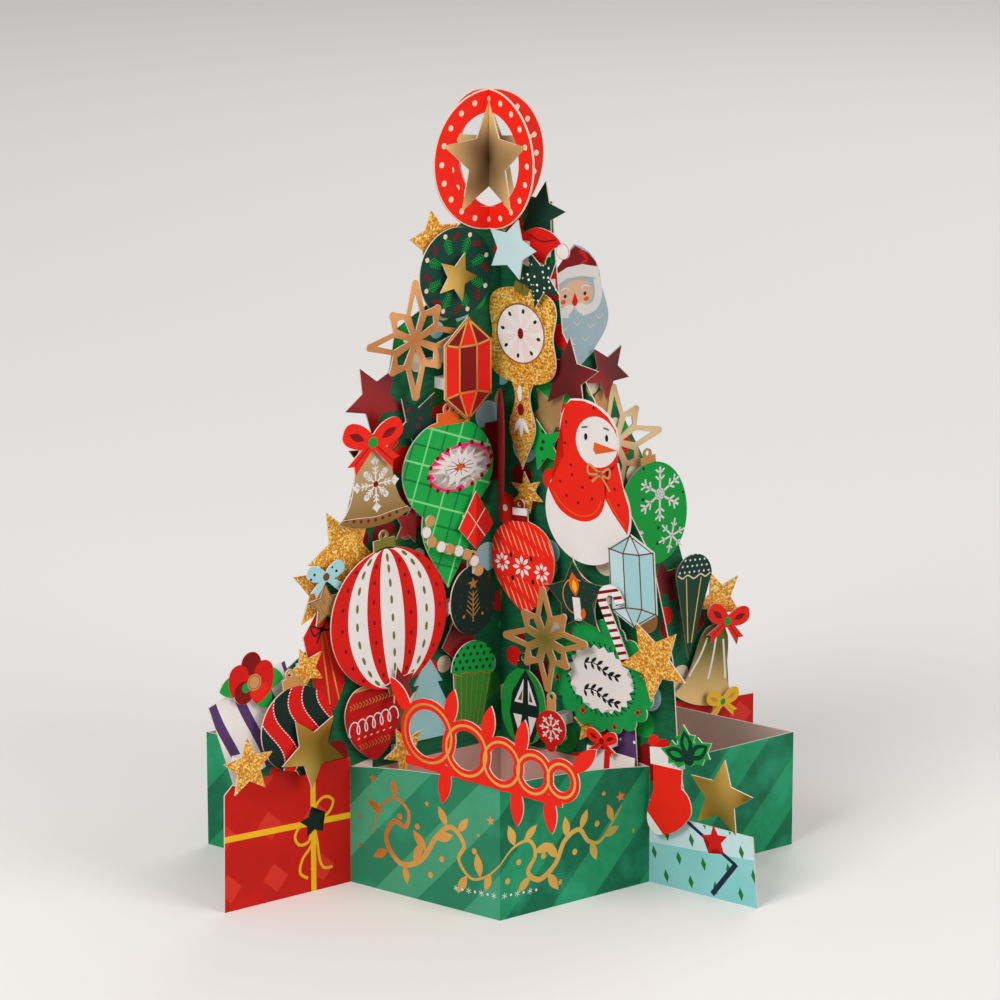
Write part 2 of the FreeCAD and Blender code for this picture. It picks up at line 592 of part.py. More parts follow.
glue("blue_star", star(9.4, 5, 0.54), "b", 11.2, 188.9, -16, 4)
glue("openwork_star_low", open_star(16.2, 11.8, 0.42), "b", 24.4, 71.4, 4, 4)
glue("candy_cane", candy_cane(18.5, 3.0, 3.2), "b", 49.0, 87.9, 27, 4)
glue("small_bauble", round_bauble(5.6, 3.2), "b", 26.8, 44.2, 0, 4)
glue("glitter_stars", star(12.6), "b", 66.8, 72.6, 32, 5)
glue("stocking", stocking(), "b", RING_REACH + 7.9, 29.2, 0, 1)
glue("foil_stars", star(12.0), "b", 84.4, 31.6, -7, 0)
glue("holly_sprig", holly(), "b", 75.6, 42.8, 0, 2)

# Sides turned away from the front view
glue("rear_baubles", round_bauble(17.0), "b", -42.0, 84.0, 6, 1)
glue("rear_baubles", oval_bauble(12.0, 15.0), "b", -25.0, 128.0, -6, 1)
glue("glitter_stars", star(13.0), "b", -56.0, 58.0, 12, 0)
glue("ruby_stars", star(10.0), "b", -18.0, 163.0, -8, 1)
glue("rear_bells", bell(), "b", -38.0, 110.0, 8, 2)
glue("rear_baubles", round_bauble(18.0), "a_rear", -38.0, 78.0, 6, 1)
glue("rear_bells", bell(), "a_rear", -30.0, 124.0, -6, 1)
glue("green_stars", star(11.0), "a_rear", -20.0, 158.0, 14, 1)
glue("glitter_stars", star(12.0), "a_rear", -64.0, 60.0, -12, 0)
glue("rear_baubles", oval_bauble(14.0, 18.0), "a_rear", 34.0, 84.0, -8, 1)
glue("ruby_stars", star(13.0), "a_rear", 44.0, 126.0, 10, 1)
glue("foil_stars", star(12.0), "a_rear", 22.0, 152.0, -12, 1)
glue("glitter_stars", star(13.0), "a_rear", 66.0, 92.0, 8, 0)
glue("rear_baubles", round_bauble(16.0), "b_rear", -34.0, 88.0, 8, 1)
glue("green_stars", star(12.0), "b_rear", -26.0, 126.0, -16, 1)
glue("glitter_stars", star(11.0), "b_rear", -16.0, 158.0, 6, 1)
glue("rear_baubles", oval_bauble(13.0, 17.0), "b_rear", 34.0, 92.0, -6, 1)
glue("rear_bells", bell(), "b_rear", 24.0, 134.0, 10, 1)
glue("foil_stars", star(12.0), "b_rear", -56.0, 60.0, -10, 0)

add_pads("a", flat_a)
add_pads("b", flat_b)
add_pads("a_rear", moved(flat_a, 0, 0).mirror(at(0, 0, HALF_CARD), at(1, 0, 0)))
add_pads("b_rear", moved(flat_b, 0, 0).mirror(at(0, 0, HALF_CARD), at(1, 0, 0)))

# Steep ornament in the front corner: a folded sheet, flap on sheet A, blade towards the front
BLADE_TURN = -83.0
FLAP_SEAT = -1.4
fold = (axis_a[0] * FLAP_SEAT + out_a[0] * HALF_CARD, axis_a[1] * FLAP_SEAT + out_a[1] * HALF_CARD)
BLADE_MIDDLE = 9.2     # from the fold to the middle of the bauble
blade = join(symmetric([(0, 22.0), (6.5, 16.0), (8.2, 2.0), (4.6, -12.0), (0, -19.0)]),
             box(CARD / 2 - 7.5, 1.0, BLADE_MIDDLE - 6.0, 18.0))
flap = box(-2.3, 1.0, 4.8, 18.0)
keep("steep_bauble", join(stand(blade, BLADE_TURN, BLADE_MIDDLE, 124.0, 0, -HALF_CARD, fold),
                          stand(flap, turn_a, FLAP_SEAT, 124.0, 0, HALF_CARD)))

# Scrollwork glued to the left half of the front wall, standing out past its fold
keep("scroll_plaque", stand(scroll(), FACE_TURN["b"], -2.0, 49.0, -4, 0, FRONT))

# The card stands on z = 0, with its origin in the middle of the room it takes up
whole = Part.makeCompound([solid for solids in nodes.values() for solid in solids]).BoundBox
to_origin = at(-whole.Center.x, -whole.Center.y, -whole.ZMin)
print("moved by", [round(v, 2) for v in to_origin])

for name, solids in nodes.items():
    shape = solids[0] if len(solids) == 1 else Part.makeCompound(solids)
    shape = shape.translated(to_origin)
    shape.exportStep("parts/" + name + ".step")
    bounds = shape.BoundBox
    print(name, len(shape.Solids), "valid" if shape.isValid() else "NOT VALID", round(shape.Volume),
          round(bounds.XLength, 1), round(bounds.YLength, 1), round(bounds.ZMin, 1), round(bounds.ZMax, 1))
print(len(nodes), "nodes")
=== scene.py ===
# %% [markdown]
# # A pop up card, dressed for the camera
# The card is a small fir tree made of two slotted card sheets inside a folded base ring, covered with
# die cut ornaments. Every sheet comes from the CAD model and keeps its shape here. What this lesson
# adds is the look: printed colour, foil, glitter, white cut edges, and the thin printed drawings.

# %% Load the card
import bpy
import bmesh
import math
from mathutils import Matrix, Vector


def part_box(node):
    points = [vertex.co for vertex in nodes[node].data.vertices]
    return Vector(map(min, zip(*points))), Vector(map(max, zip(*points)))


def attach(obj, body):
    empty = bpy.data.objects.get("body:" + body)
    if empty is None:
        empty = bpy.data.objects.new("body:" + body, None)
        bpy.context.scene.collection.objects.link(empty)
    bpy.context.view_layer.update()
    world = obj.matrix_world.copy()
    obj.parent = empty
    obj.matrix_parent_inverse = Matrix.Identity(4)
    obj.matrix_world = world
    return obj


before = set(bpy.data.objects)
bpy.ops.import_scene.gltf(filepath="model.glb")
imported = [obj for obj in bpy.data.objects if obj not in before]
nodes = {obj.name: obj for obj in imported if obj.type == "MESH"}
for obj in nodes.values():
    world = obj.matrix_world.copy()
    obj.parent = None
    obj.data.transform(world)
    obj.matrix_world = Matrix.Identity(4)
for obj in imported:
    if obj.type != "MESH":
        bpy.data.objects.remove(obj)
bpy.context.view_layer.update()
print("CAD nodes:", len(nodes))

# %% [markdown]
# ## Where the sheets stand
# The folded ring is a diamond. Its four outer corners give the axis of the tree and the turn of both
# tree sheets, so nothing about the layout has to be typed in again. A face is named by the side it is
# seen from: "a" and "b" are the two sides towards the camera, "cross" is square to "a".

# %% Measure the ring and the faces
MM = 0.001
METRE = 1000.0          # millimetres in a metre
ring_low, ring_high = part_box("wall_left")[0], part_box("wall_right")[1]
front_low, rear_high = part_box("wall_front")[0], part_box("wall_rear")[1]
half_width = (ring_high[0] - ring_low[0]) / 2
half_depth = (rear_high[1] - front_low[1]) / 2
AXIS = Vector(((ring_high[0] + ring_low[0]) / 2, (rear_high[1] + front_low[1]) / 2, 0.0))
TURN = math.degrees(math.atan2(half_depth, half_width))
FACES = {"a": TURN, "b": -TURN, "cross": TURN + 90}


def face_axes(face):
    """Unit vectors along a face and straight out of it."""
    turn = math.radians(FACES[face])
    return Vector((math.cos(turn), math.sin(turn), 0)), Vector((math.sin(turn), -math.cos(turn), 0))


print("axis", [round(v, 4) for v in AXIS], "turn", round(TURN, 2))

# %% [markdown]
# ## Camera
# The photograph looks down on the card by about 14 degrees, from well over a metre away with a long
# lens, which keeps upright edges nearly parallel.

# %% Place the camera
CAMERA_BACK = 1.354
CAMERA_HEIGHT = 0.438
CAMERA_PITCH = 13.65
LENS_MM = 165.6

camera_data = bpy.data.cameras.new("camera")
camera_data.lens = LENS_MM
camera_data.sensor_width = 36.0
camera = bpy.data.objects.new("camera", camera_data)
camera.location = (AXIS.x, AXIS.y - CAMERA_BACK, CAMERA_HEIGHT)
camera.rotation_euler = (math.radians(90 - CAMERA_PITCH), 0, 0)
bpy.context.collection.objects.link(camera)
bpy.context.scene.camera = camera
bpy.context.scene.view_settings.view_transform = "Standard"

# %% [markdown]
# ## Shader sums as plain Python
# A print is worked out from coordinates: "inside this circle", "on this stripe". Written as single
# nodes that is hard to read, so a small class wraps a socket and gives it the usual operators. Each
# `+` or `<` on such a number adds one Math node to the material.

# %% A number and a colour that vary over a surface
class Number:
    """One output socket that takes part in sums."""

    def __init__(self, shade, socket):
        self.shade, self.socket = shade, socket

    def __add__(self, other): return self.shade.math("ADD", self, other)
    def __radd__(self, other): return self.shade.math("ADD", other, self)
    def __sub__(self, other): return self.shade.math("SUBTRACT", self, other)
    def __rsub__(self, other): return self.shade.math("SUBTRACT", other, self)
    def __mul__(self, other): return self.shade.math("MULTIPLY", self, other)
    def __rmul__(self, other): return self.shade.math("MULTIPLY", other, self)
    def __truediv__(self, other): return self.shade.math("DIVIDE", self, other)
    def __lt__(self, other): return self.shade.math("LESS_THAN", self, other)
    def __gt__(self, other): return self.shade.math("GREATER_THAN", self, other)
    def __abs__(self): return self.shade.math("ABSOLUTE", self)


class Shade:
    """The node tree of a new material, or of the world."""

    def __init__(self, owner):
        self.owner = bpy.data.materials.new(owner) if isinstance(owner, str) else owner
        self.owner.use_nodes = True
        self.tree = self.owner.node_tree
        self.tree.nodes.clear()

    def node(self, kind, settings=None, inputs=None, output=0):
        """Add a node, set its settings and sockets, and return one of its outputs."""
        made = self.tree.nodes.new("ShaderNode" + kind)
        for name, value in (settings or {}).items():
            setattr(made, name, value)
        for key, value in (inputs or {}).items():
            socket = made.inputs[key]
            if isinstance(value, Number):
                self.tree.links.new(value.socket, socket)
            else:
                socket.default_value = value
        return Number(self, made.outputs[output]) if made.outputs else made

    def math(self, operation, *values):
        return self.node("Math", {"operation": operation}, dict(enumerate(values)))

    def largest(self, *values):
        total = values[0]
        for value in values[1:]:
            total = self.math("MAXIMUM", total, value)
        return total

    def ramp(self, value, soft=0.1):
        """The value kept between 0 and 1, with a soft bend below 1."""
        return self.math("SMOOTH_MIN", self.largest(value, 0.0), 1.0, soft)

    def point(self):
        return self.node("TexCoord", output=3)

    def normal(self):
        return self.node("NewGeometry", output=1)

    def part(self, index, vector=None):
        """One part of a vector; without a vector, of the place on the piece."""
        return self.node("SeparateXYZ", inputs={0: vector or self.point()}, output=index)

    def dot(self, one, other):
        return self.node("VectorMath", {"operation": "DOT_PRODUCT"}, {0: one, 1: other}, 1)

    def flat(self, x, y):
        return self.node("CombineXYZ", inputs={0: x, 1: y, 2: 0.0})

    def noise(self, scale, detail=2.0, vector=None):
        place = vector or self.point()
        return self.node("TexNoise", inputs={"Vector": place, "Scale": scale, "Detail": detail})

    def cells(self, scale, loose=1.0, vector=None, output="Distance"):
        place = vector or self.point()
        return self.node("TexVoronoi", inputs={"Vector": place, "Scale": scale, "Randomness": loose},
                         output=output)

    def draw(self, scale, **kind):
        """A random number for each cell."""
        return self.node("SeparateColor", inputs={0: self.cells(scale, output="Color", **kind)})

    def bump(self, height, strength, distance):
        return self.node("Bump", inputs={"Strength": strength, "Distance": distance, "Height": height})

    def finish(self, kind, **inputs):
        """Close the tree with a surface; underscores in the input names stand for blanks."""
        surface = self.node(kind, inputs={name.replace("_", " "): value for name, value in inputs.items()})
        self.node("OutputWorld" if kind == "Background" else "OutputMaterial", inputs={0: surface})
        return self.owner


# %% [markdown]
# ## Card stock
# The sheets are white coated board with an offset print: slightly uneven ink, a faint fibre relief
# and a low sheen. Die cutting bares the pale core, so the narrow faces round a sheet are pale
# whatever is printed on it. Hot foil is a thin metal film: metallic, and smoother than the paper.

# %% Inks, and how they are mixed
INK = {
    "white": "f4eeea", "cream": "f0dcc0", "red": "de120a", "bright red": "f4220e", "dark red": "840206",
    "green": "06a03c", "leaf green": "1f7a2c", "dark green": "053528", "black green": "05211a",
    "tan": "d79a5e", "gold": "e8b45c", "olive": "7c7326", "yellow": "fcc21a", "light blue": "a9dade",
    "pale blue": "c9e6ea", "navy": "20233f", "slate": "5f6f78", "purple": "57396b",
    "bright pink": "ee2f7c", "blush": "efc9b8", "orange": "e8611c", "dial": "f4e2da", "black": "14100f",
    "skin": "f2c3a2", "grey blue": "aec6cf", "brown": "7a4a22",
}
CORE = "e3d4c4"         # the pale heart of the board
MATT = 0.6              # roughness of the board


def tone(colour):
    """Linear colour of an ink or of a six digit colour code."""
    if not isinstance(colour, str):
        return colour
    code = INK.get(colour, colour)
    parts = [int(code[i:i + 2], 16) / 255 for i in (0, 2, 4)]
    return (*(p / 12.92 if p <= 0.04045 else ((p + 0.055) / 1.055) ** 2.4 for p in parts), 1.0)


def dim(colour, share):
    return (*(part * share for part in tone(colour)[:3]), 1.0)


def mix(share, under, over):
    """Colour `under` with colour `over` laid on it where share is 1."""
    return share.shade.node("Mix", {"data_type": "RGBA"}, {0: share, 6: tone(under), 7: tone(over)}, 2)


# %% Printed board
def card(shade, colour, foil=0.0, foil_rough=0.3, face_out=None, back=None):
    """Close a material as printed board; `face_out` keeps the print off cut edges and the back."""
    wear = shade.noise(90.0, 3.0) * 0.16 + 0.92
    fibre = shade.noise(2600.0)
    colour = shade.node("Mix", {"data_type": "RGBA", "blend_type": "MULTIPLY"}, {
        0: 1.0, 6: tone(colour), 7: shade.node("CombineColor", inputs={0: wear, 1: wear, 2: wear})}, 2)
    if face_out is not None:
        printed = shade.dot(shade.normal(), face_out)
        colour = mix(printed > -0.5, back or colour, colour)
        colour = mix(abs(printed) < 0.5, colour, CORE)
        foil = (printed > 0.5) * foil
    metal_rough = shade.noise(220.0) * 0.12 + (foil_rough - 0.06)
    if isinstance(foil, Number):
        rough = foil * (metal_rough - MATT) + MATT
    else:
        rough = metal_rough if foil else MATT + 0.1 * (fibre - 0.5)
    return shade.finish("BsdfPrincipled", Base_Color=colour, Metallic=foil, Specular_IOR_Level=0.22,
                        Roughness=rough, Normal=shade.bump(fibre, 0.35, 0.00004))


dressed = set()


def dress(name, material):
    """Give a CAD node its finished material."""
    mesh = nodes[name].data
    for i in range(len(mesh.materials)):
        mesh.materials[i] = material
    dressed.add(name)


# %% [markdown]
# ## A sheet as drawing paper
# To draw on a piece we need its own flat coordinates in millimetres. They come from the piece's mesh:
# its points are measured along the face and upwards, turned back by the tilt it was glued at, and the
# box round them gives the origin. `foot` says how far the drawing's origin lies above the lowest
# point, `side` how far it lies from the left edge; without them the middle of the box is used.

# %% Flat coordinates of a piece
SAME_FACE = 14.0        # like pieces whose lift differs by more hang on another face


class Sheet:
    def __init__(self, name, face, tilt=0.0, foot=None, side=None, near=None):
        self.name, self.tilt = name, math.radians(tilt)
        self.along, self.out = face_axes(face)
        points = []
        for vertex in nodes[name].data.vertices:
            flat = vertex.co - AXIS
            x, y, lift = flat.dot(self.along) / MM, flat.z / MM, flat.dot(self.out) / MM
            if near and (math.hypot(x - near[0], y - near[1]) > near[2] or abs(lift) > SAME_FACE):
                continue
            points.append((x * math.cos(self.tilt) + y * math.sin(self.tilt),
                           y * math.cos(self.tilt) - x * math.sin(self.tilt), lift))
        low, high = ([pick(p[i] for p in points) for i in range(3)] for pick in (min, max))
        self.width, self.height, self.lift = high[0] - low[0], high[1] - low[1], high[2]
        self.x0 = low[0] + side if side is not None else (low[0] + high[0]) / 2
        self.y0 = low[1] + foot if foot is not None else (low[1] + high[1]) / 2

    def place(self, x, y, rise):
        """Point in the card's frame of a drawing point, `rise` millimetres above the sheet."""
        x, y = x + self.x0, y + self.y0
        along = x * math.cos(self.tilt) - y * math.sin(self.tilt)
        height = x * math.sin(self.tilt) + y * math.cos(self.tilt)
        flat = AXIS + self.along * (along * MM) + self.out * ((self.lift + rise) * MM)
        return Vector((flat.x, flat.y, height * MM))

    def start(self):
        """Begin the material; its drawing coordinates are in millimetres."""
        self.shade = shade = Shade(self.name)
        along = shade.dot(shade.point(), self.along) * METRE - AXIS.dot(self.along) / MM
        height = shade.part(2) * METRE
        cosine, sine = math.cos(self.tilt), math.sin(self.tilt)
        return shade, along * cosine + height * sine - self.x0, height * cosine - along * sine - self.y0

    def close(self, colour, foil=0.0, back=CORE, **kind):
        dress(self.name, card(self.shade, colour, foil, face_out=self.out, back=back, **kind))


# Tilt in degrees, then the drawing's origin: above the lowest point, and from the left edge
ON_A = {
    "fir_wreath": (), "red_crystal": (), "bead_garland": (), "yellow_bow": (), "blue_tree": (),
    "topper_disc_a": (), "striped_present": (19,), "striped_bauble": (4, 23.6), "candy_ball": (8, 14.9),
    "plaid_bauble": (0, 37), "curl_bauble": (4, 12.4), "snowflake_bauble": (8, 16.6),
    "green_oval": (0, 10.8), "bell_left": (2, 13.6), "bell_right": (-13, 13.6), "red_kite": (0, 7),
    "dotted_cone": (-4, 27.5), "cupcake": (-5, 15), "red_tag": (12, 16), "wood_star": (4, 5.66, 6.66),
    "red_flower": (0, 9.54, 11.42), "bearded_figure": (0, 22.4, 11.0),
}
ON_B = {
    "blue_star": (), "blue_crystal": (4,), "openwork_star_low": (4,), "candy_cane": (27,),
    "purple_gift": (4,), "white_gift": (-3,), "snow_bauble": (4, 15), "small_bauble": (0, 7.5),
    "diamond_bauble": (0, 12.2), "candle_star": (8, 10.19), "green_plaque": (-14, 17.18),
    "clock": (0, 41), "snowman": (0, 16), "stocking": (0, 12.8, 7.03), "red_cap": (0, 8.54, 9.84),
    "scroll_plaque": (-4, 18.57, 40.36), "holly_sprig": (0, 3.39, 10.4),
}


def hung(name):
    """The sheet of an ornament on one of the two front faces."""
    return Sheet(name, "a", *ON_A[name]) if name in ON_A else Sheet(name, "b", *ON_B[name])


def begin(name):
    sheet = hung(name)
    return (sheet, *sheet.start())


# %% Fields to print with
STAR_WAIST = 0.46       # how far a star's notches lie from its middle, as a share of its tips


def radius(x, y):
    return x.shade.math("SQRT", x * x + y * y)


def repeat(value, period):
    """Saw tooth from -0.5 to 0.5 that is 0 in the middle of every period."""
    return value.shade.math("FRACT", value / period + 0.5) - 0.5


def arms(x, y, count):
    """Distance out along the nearest of `count` arms, and distance beside it."""
    turn = x.shade.math("ARCTAN2", x, y) * (count / (2 * math.pi))
    beside = repeat(turn, 1.0) * (2 * math.pi / count)
    reach = radius(x, y)
    return reach * x.shade.math("COSINE", beside), abs(reach * x.shade.math("SINE", beside))


def star_field(x, y, reach):
    """1 inside a star with five tips, the first one upright."""
    out, beside = arms(x, y, 5)
    half = math.pi / 5
    notch = reach * STAR_WAIST
    return (out + beside * ((reach - notch * math.cos(half)) / (notch * math.sin(half)))) < reach


def spots(x, y, wide, high, shift):
    """Distance from the nearest of rows of spots, each row shifted past the one below it."""
    row = x.shade.math("FLOOR", y / high)
    return radius(repeat(x + row * shift, wide) * wide, repeat(y - high / 2, high) * high)


# %% [markdown]
# ## Light and backdrop
# A large soft lamp from the upper left and a weaker one from the right give the gentle shading of a
# product photograph. The world is an even grey for the object; only the camera and mirror rays see
# it as near white, so foil reflects a pale room.

# %% Floor, lamps and world
FLOOR_SIZE = 3.0
LAMP_AIM = Vector((0, 0, 0.11))
LAMPS = {               # place, size and power
    "key": ((-1.0, -1.3, 1.3), 0.9, 23.0),
    "fill": ((1.4, -1.1, 0.9), 1.2, 14.0),
    "rear": ((0.5, 1.5, 1.4), 1.2, 9.0),
}


def backdrop(shade, lit, seen):
    """Colour `lit` for the object, `seen` for the camera and in reflections."""
    rays = [shade.node("LightPath", output=f"Is {kind} Ray") for kind in ("Camera", "Glossy", "Transmission")]
    return mix(shade.largest(*rays), lit, seen)


floor_mesh = bpy.data.meshes.new("floor")
builder = bmesh.new()
bmesh.ops.create_grid(builder, x_segments=2, y_segments=2, size=FLOOR_SIZE)
builder.to_mesh(floor_mesh)
builder.free()
floor = bpy.data.objects.new("floor", floor_mesh)
bpy.context.collection.objects.link(floor)
floor_shade = Shade("floor")
floor_mesh.materials.append(
    floor_shade.finish("BsdfDiffuse", Color=backdrop(floor_shade, "c8c4be", "f3f0ec")))

for name, (place, size, power) in LAMPS.items():
    data = bpy.data.lights.new(name, "AREA")
    data.size, data.energy = size, power
    lamp = bpy.data.objects.new(name, data)
    lamp.location = Vector(place)
    lamp.rotation_euler = (LAMP_AIM - lamp.location).to_track_quat("-Z", "Y").to_euler()
    bpy.context.collection.objects.link(lamp)

room = Shade(bpy.data.worlds.new("room"))
bpy.context.scene.world = room.finish("Background", Color=backdrop(room, "a8a8aa", "f1efec"), Strength=1.0)
print("lamps:", len(LAMPS))

# %% [markdown]
# ## Foil, glitter and plain boards
# Many ornaments are one finish all over. Gold foil shows broad soft patches from its slight waves;
# ruby foil is the same film under a red lacquer; glitter is made of flakes about half a millimetre
# wide that each face a different way, which a cell texture gives both to the colour and the relief.

# %% Stars in one finish
FLAKES = 1900.0         # glitter flakes to the metre


def flat_faces(shade):
    """1 on the broad faces of sheets on either tree plane, 0 on their cut edges."""
    normal = shade.normal()
    return shade.largest(*[abs(shade.dot(normal, face_axes(face)[1])) > 0.995 for face in ("a", "b")])


def foil_board(name, dark, light, metal, rough):
    shade = Shade(name)
    waves = shade.noise(52.0, 0.0)
    flat = flat_faces(shade)
    colour = mix(flat, CORE, mix(shade.ramp((waves - 0.36) * 3.6), dark, light))
    dress(name, shade.finish("BsdfPrincipled", Base_Color=colour, Metallic=flat * metal,
                             Roughness=flat * (rough - MATT) + MATT, Normal=shade.bump(waves, 0.2, 0.0015)))


def glitter(shade, dark, middle, light, share):
    """Colour of the flakes and the number each flake drew; `share` of them stay below the lightest."""
    drawn = shade.draw(FLAKES)
    return mix(drawn > share, mix(drawn > 0.3, dark, middle), light), drawn


for row in (("foil_stars", "806416", "f4c262", 0.6, 0.3), ("ruby_stars", "5a0004", "96040c", 0.15, 0.42),
            ("ruby_kite", "5a0004", "a8060e", 0.15, 0.42), ("plain_star", "b08a58", "dcb982", 0.3, 0.45),
            ("openwork_star_left", "b8763c", "e6a468", 0.4, 0.42),
            ("openwork_star_right", "c09668", "e6c698", 0.3, 0.45)):
    foil_board(*row)

shade = Shade("glitter_stars")
colour, drawn = glitter(shade, "cf7f1e", "f2a52c", "ffe07a", 0.72)
flat = flat_faces(shade)
dress("glitter_stars", shade.finish(
    "BsdfPrincipled", Base_Color=mix(flat, CORE, colour), Metallic=flat * 0.25,
    Roughness=MATT - flat * 0.18, Normal=shade.bump(drawn, 0.8, 0.0003)))

sheet, shade, x, y = begin("openwork_star_low")
sheet.close(mix(shade.ramp(radius(x, y) / 9.0, 0.2), "6e7028", "c08a50"), foil=0.4, foil_rough=0.42)

# %% [markdown]
# ## Boards in one printed colour
# A few sheets carry one flat ink. Even so the ink of a real print is a little uneven, and the cut edge
# stays pale. `plain_board` also serves nodes whose like pieces hang on several faces.

# %% Plain and dotted boards
def plain_board(name, colour, dots=None, scale=0.0, size=0.0):
    """One ink on every broad face, with loosely scattered dots of another ink."""
    shade = Shade(name)
    base = colour(shade) if callable(colour) else colour
    if dots:
        base = mix(shade.cells(scale, 0.35) < size, base, dots)
    dress(name, card(shade, mix(flat_faces(shade), CORE, base)))


BRIGHT_BELOW = 0.1385           # metres above the table, right of the axis
SPECKLED = (0.169, 0.1915)


def star_greens(shade):
    """Ink and dots of each green star, told apart by where it hangs."""
    height, right = shade.part(2), shade.part(0) > AXIS.x
    bright = right * (height < BRIGHT_BELOW)
    speckled = right * (height > SPECKLED[0]) * (height < SPECKLED[1])
    spot = shade.cells(330.0, 0.35) < 0.24
    colour = mix((1.0 - right) * spot, mix(bright, "dark green", "green"), "dark red")
    colour = mix(bright * spot, colour, "black green")
    return mix(speckled * (shade.cells(640.0, 0.5) < 0.26), colour, "white")


def rear_bands(shade):
    """Red baubles with white and green belts, on the sides away from the camera."""
    belt = abs(repeat(shade.part(2) * METRE, 13.0))
    return mix(belt < 0.09, mix(belt < 0.17, "red", "white"), "dark green")


def bell_tones(shade):
    return mix(shade.math("SINE", shade.part(2) * 420.0) * 0.5 + 0.5, "tan", "olive")


plain_board("green_stars", star_greens)
plain_board("red_bows", "bright red")
plain_board("rear_baubles", rear_bands, "dark red", 260.0, 0.12)
plain_board("rear_bells", bell_tones, "white", 260.0, 0.14)

foam = Shade("foam_pads")
pores = foam.cells(2400.0)
dress("foam_pads", foam.finish("BsdfPrincipled", Base_Color=mix(pores, "d8d5cf", "f4f2ee"),
                               Roughness=0.9, Normal=foam.bump(pores, 0.6, 0.0002)))

for name, ink in (("yellow_bow", "yellow"), ("blue_star", "pale blue"), ("blue_tree", "light blue"),
                  ("red_cap", "red"), ("red_tag", "red"), ("snowman", "white"),
                  ("scroll_plaque", "bright red"), ("bearded_figure", "grey blue"), ("holly_sprig", "green")):
    sheet, shade, x, y = begin(name)
    sheet.close(mix(shade.noise(120.0, 4.0) * 0.35, ink, dim(ink, 0.72)))

# %% [markdown]
# ## Patterned boards
# Stripes, plaid and swirls are repeating fields, so they are sums of the flat coordinates. A round
# bauble's stripes follow its meridians: the sideways distance divided by the half width of the circle
# at that height is the sine of the longitude, and equal steps of longitude look round.

# %% Baubles and candy
CAP = "cf9150"


def capped(y, top, colour, cap=CAP):
    """Everything above `top` is painted as the cap."""
    return mix(y > top, colour, cap)


sheet, shade, x, y = begin("striped_bauble")
ball = sheet.width / 2
half = shade.math("SQRT", shade.largest(ball * ball - y * y, 0.01))
longitude = shade.math("ARCSINE", x / half) * (180 / math.pi) - 3.5
white = (abs(repeat(longitude, 37.0)) < 0.31) * (abs(longitude) < 55.0)
sheet.close(mix(radius(x, y) > ball, mix(white, "red", "white"), "olive"))

sheet, shade, x, y = begin("candy_ball")
swirl = abs(repeat(x - y * 0.3 + shade.math("SINE", y * 0.16) * 6.0 + 1.5, 10.5))
seam = (abs(swirl - 0.26) < 0.02) * (abs(repeat(y, 0.9)) < 0.27)
colour = mix(seam, mix(swirl < 0.24, "red", "black green"), "white")
sheet.close(mix((radius(x, y) > sheet.width / 2) * (y > 0.0), colour, CAP))

sheet, shade, x, y = begin("striped_present")
stripe = abs(repeat(x + 2.4 + shade.math("SINE", y * 0.12) * 1.6, 9.4))
sheet.close(mix(stripe < 0.17, "white", "purple"))

sheet, shade, x, y = begin("plaid_bauble")
PLAID, SLANT = 11.0, math.radians(20)
across, up = x * math.cos(SLANT) - y * math.sin(SLANT), y * math.cos(SLANT) + x * math.sin(SLANT)
light = shade.largest(abs(repeat(across - 1.0, PLAID)) < 0.028, abs(repeat(up + 1.0, PLAID)) < 0.028)
dark = shade.largest(abs(repeat(across + 4.5, PLAID)) < 0.03, abs(repeat(up + 6.5, PLAID)) < 0.03)
sheet.close(capped(y, 13.2, mix(light, mix(dark, "12aa48", "0a7a34"), "7fe08a"), "orange"))

sheet, shade, x, y = begin("snow_bauble")
dash = (abs(repeat(x + y * 0.35, 1.9)) < 0.13) * (abs(repeat(y * 0.5 + x * 0.9, 1.45)) < 0.3)
sheet.close(capped(y, 13.9, mix(dash * (abs(y) > 3.6), "bright red", "f6a27c"), "dark red"))

sheet, shade, x, y = begin("curl_bauble")
mottle = shade.noise(160.0)
sheet.close(capped(y, 10.2, mix(mottle > 0.35, "red", mix(mottle, "red", "dark red"))))

# %% Prints that are one sum each
ONE_SUM = {
    "candy_cane": lambda s, x, y: mix(abs(repeat(y + x * 0.2, 2.4)) < 0.2, "white", "dark red"),
    "small_bauble": lambda s, x, y: capped(y, 5.4, mix(s.noise(200.0), "red", "c01008")),
    "snowflake_bauble": lambda s, x, y: capped(y, 16.4, mix(s.cells(210.0, 0.5) < 0.13, "green",
                                                            "black green")),
    "green_oval": lambda s, x, y: capped(y, 10.8, mix(s.cells(380.0) < 0.16, "black green", "5a2a1e"), "tan"),
    "diamond_bauble": lambda s, x, y: capped(y, 12.0, mix(s.noise(130.0, 3.0), "leaf green", "green"),
                                             "dark green"),
    "fir_wreath": lambda s, x, y: mix(s.noise(140.0, 3.0), "03261b", "06483a"),
    "candle_star": lambda s, x, y: mix(s.cells(330.0) < 0.15, "dark green", "dark red"),
    "green_plaque": lambda s, x, y: mix(s.noise(150.0, 3.0), "07813a", "10a850"),
    "stocking": lambda s, x, y: mix(s.largest(y > 8.9, (x + y) < -13.2), "bright red", "white"),
    "purple_gift": lambda s, x, y: mix(s.cells(260.0, 0.6) < 0.13, "purple", "white"),
    "white_gift": lambda s, x, y: mix(abs(x + 1.2) < 1.1, "white", "red"),
    "red_kite": lambda s, x, y: mix(x > 0.0, "bright red", "c4120c"),
    "red_crystal": lambda s, x, y: "bright red",
    "blue_crystal": lambda s, x, y: "light blue",
    "bead_garland": lambda s, x, y: "b57f42",
}
for name, field in ONE_SUM.items():
    sheet, *place = begin(name)
    sheet.close(field(*place))

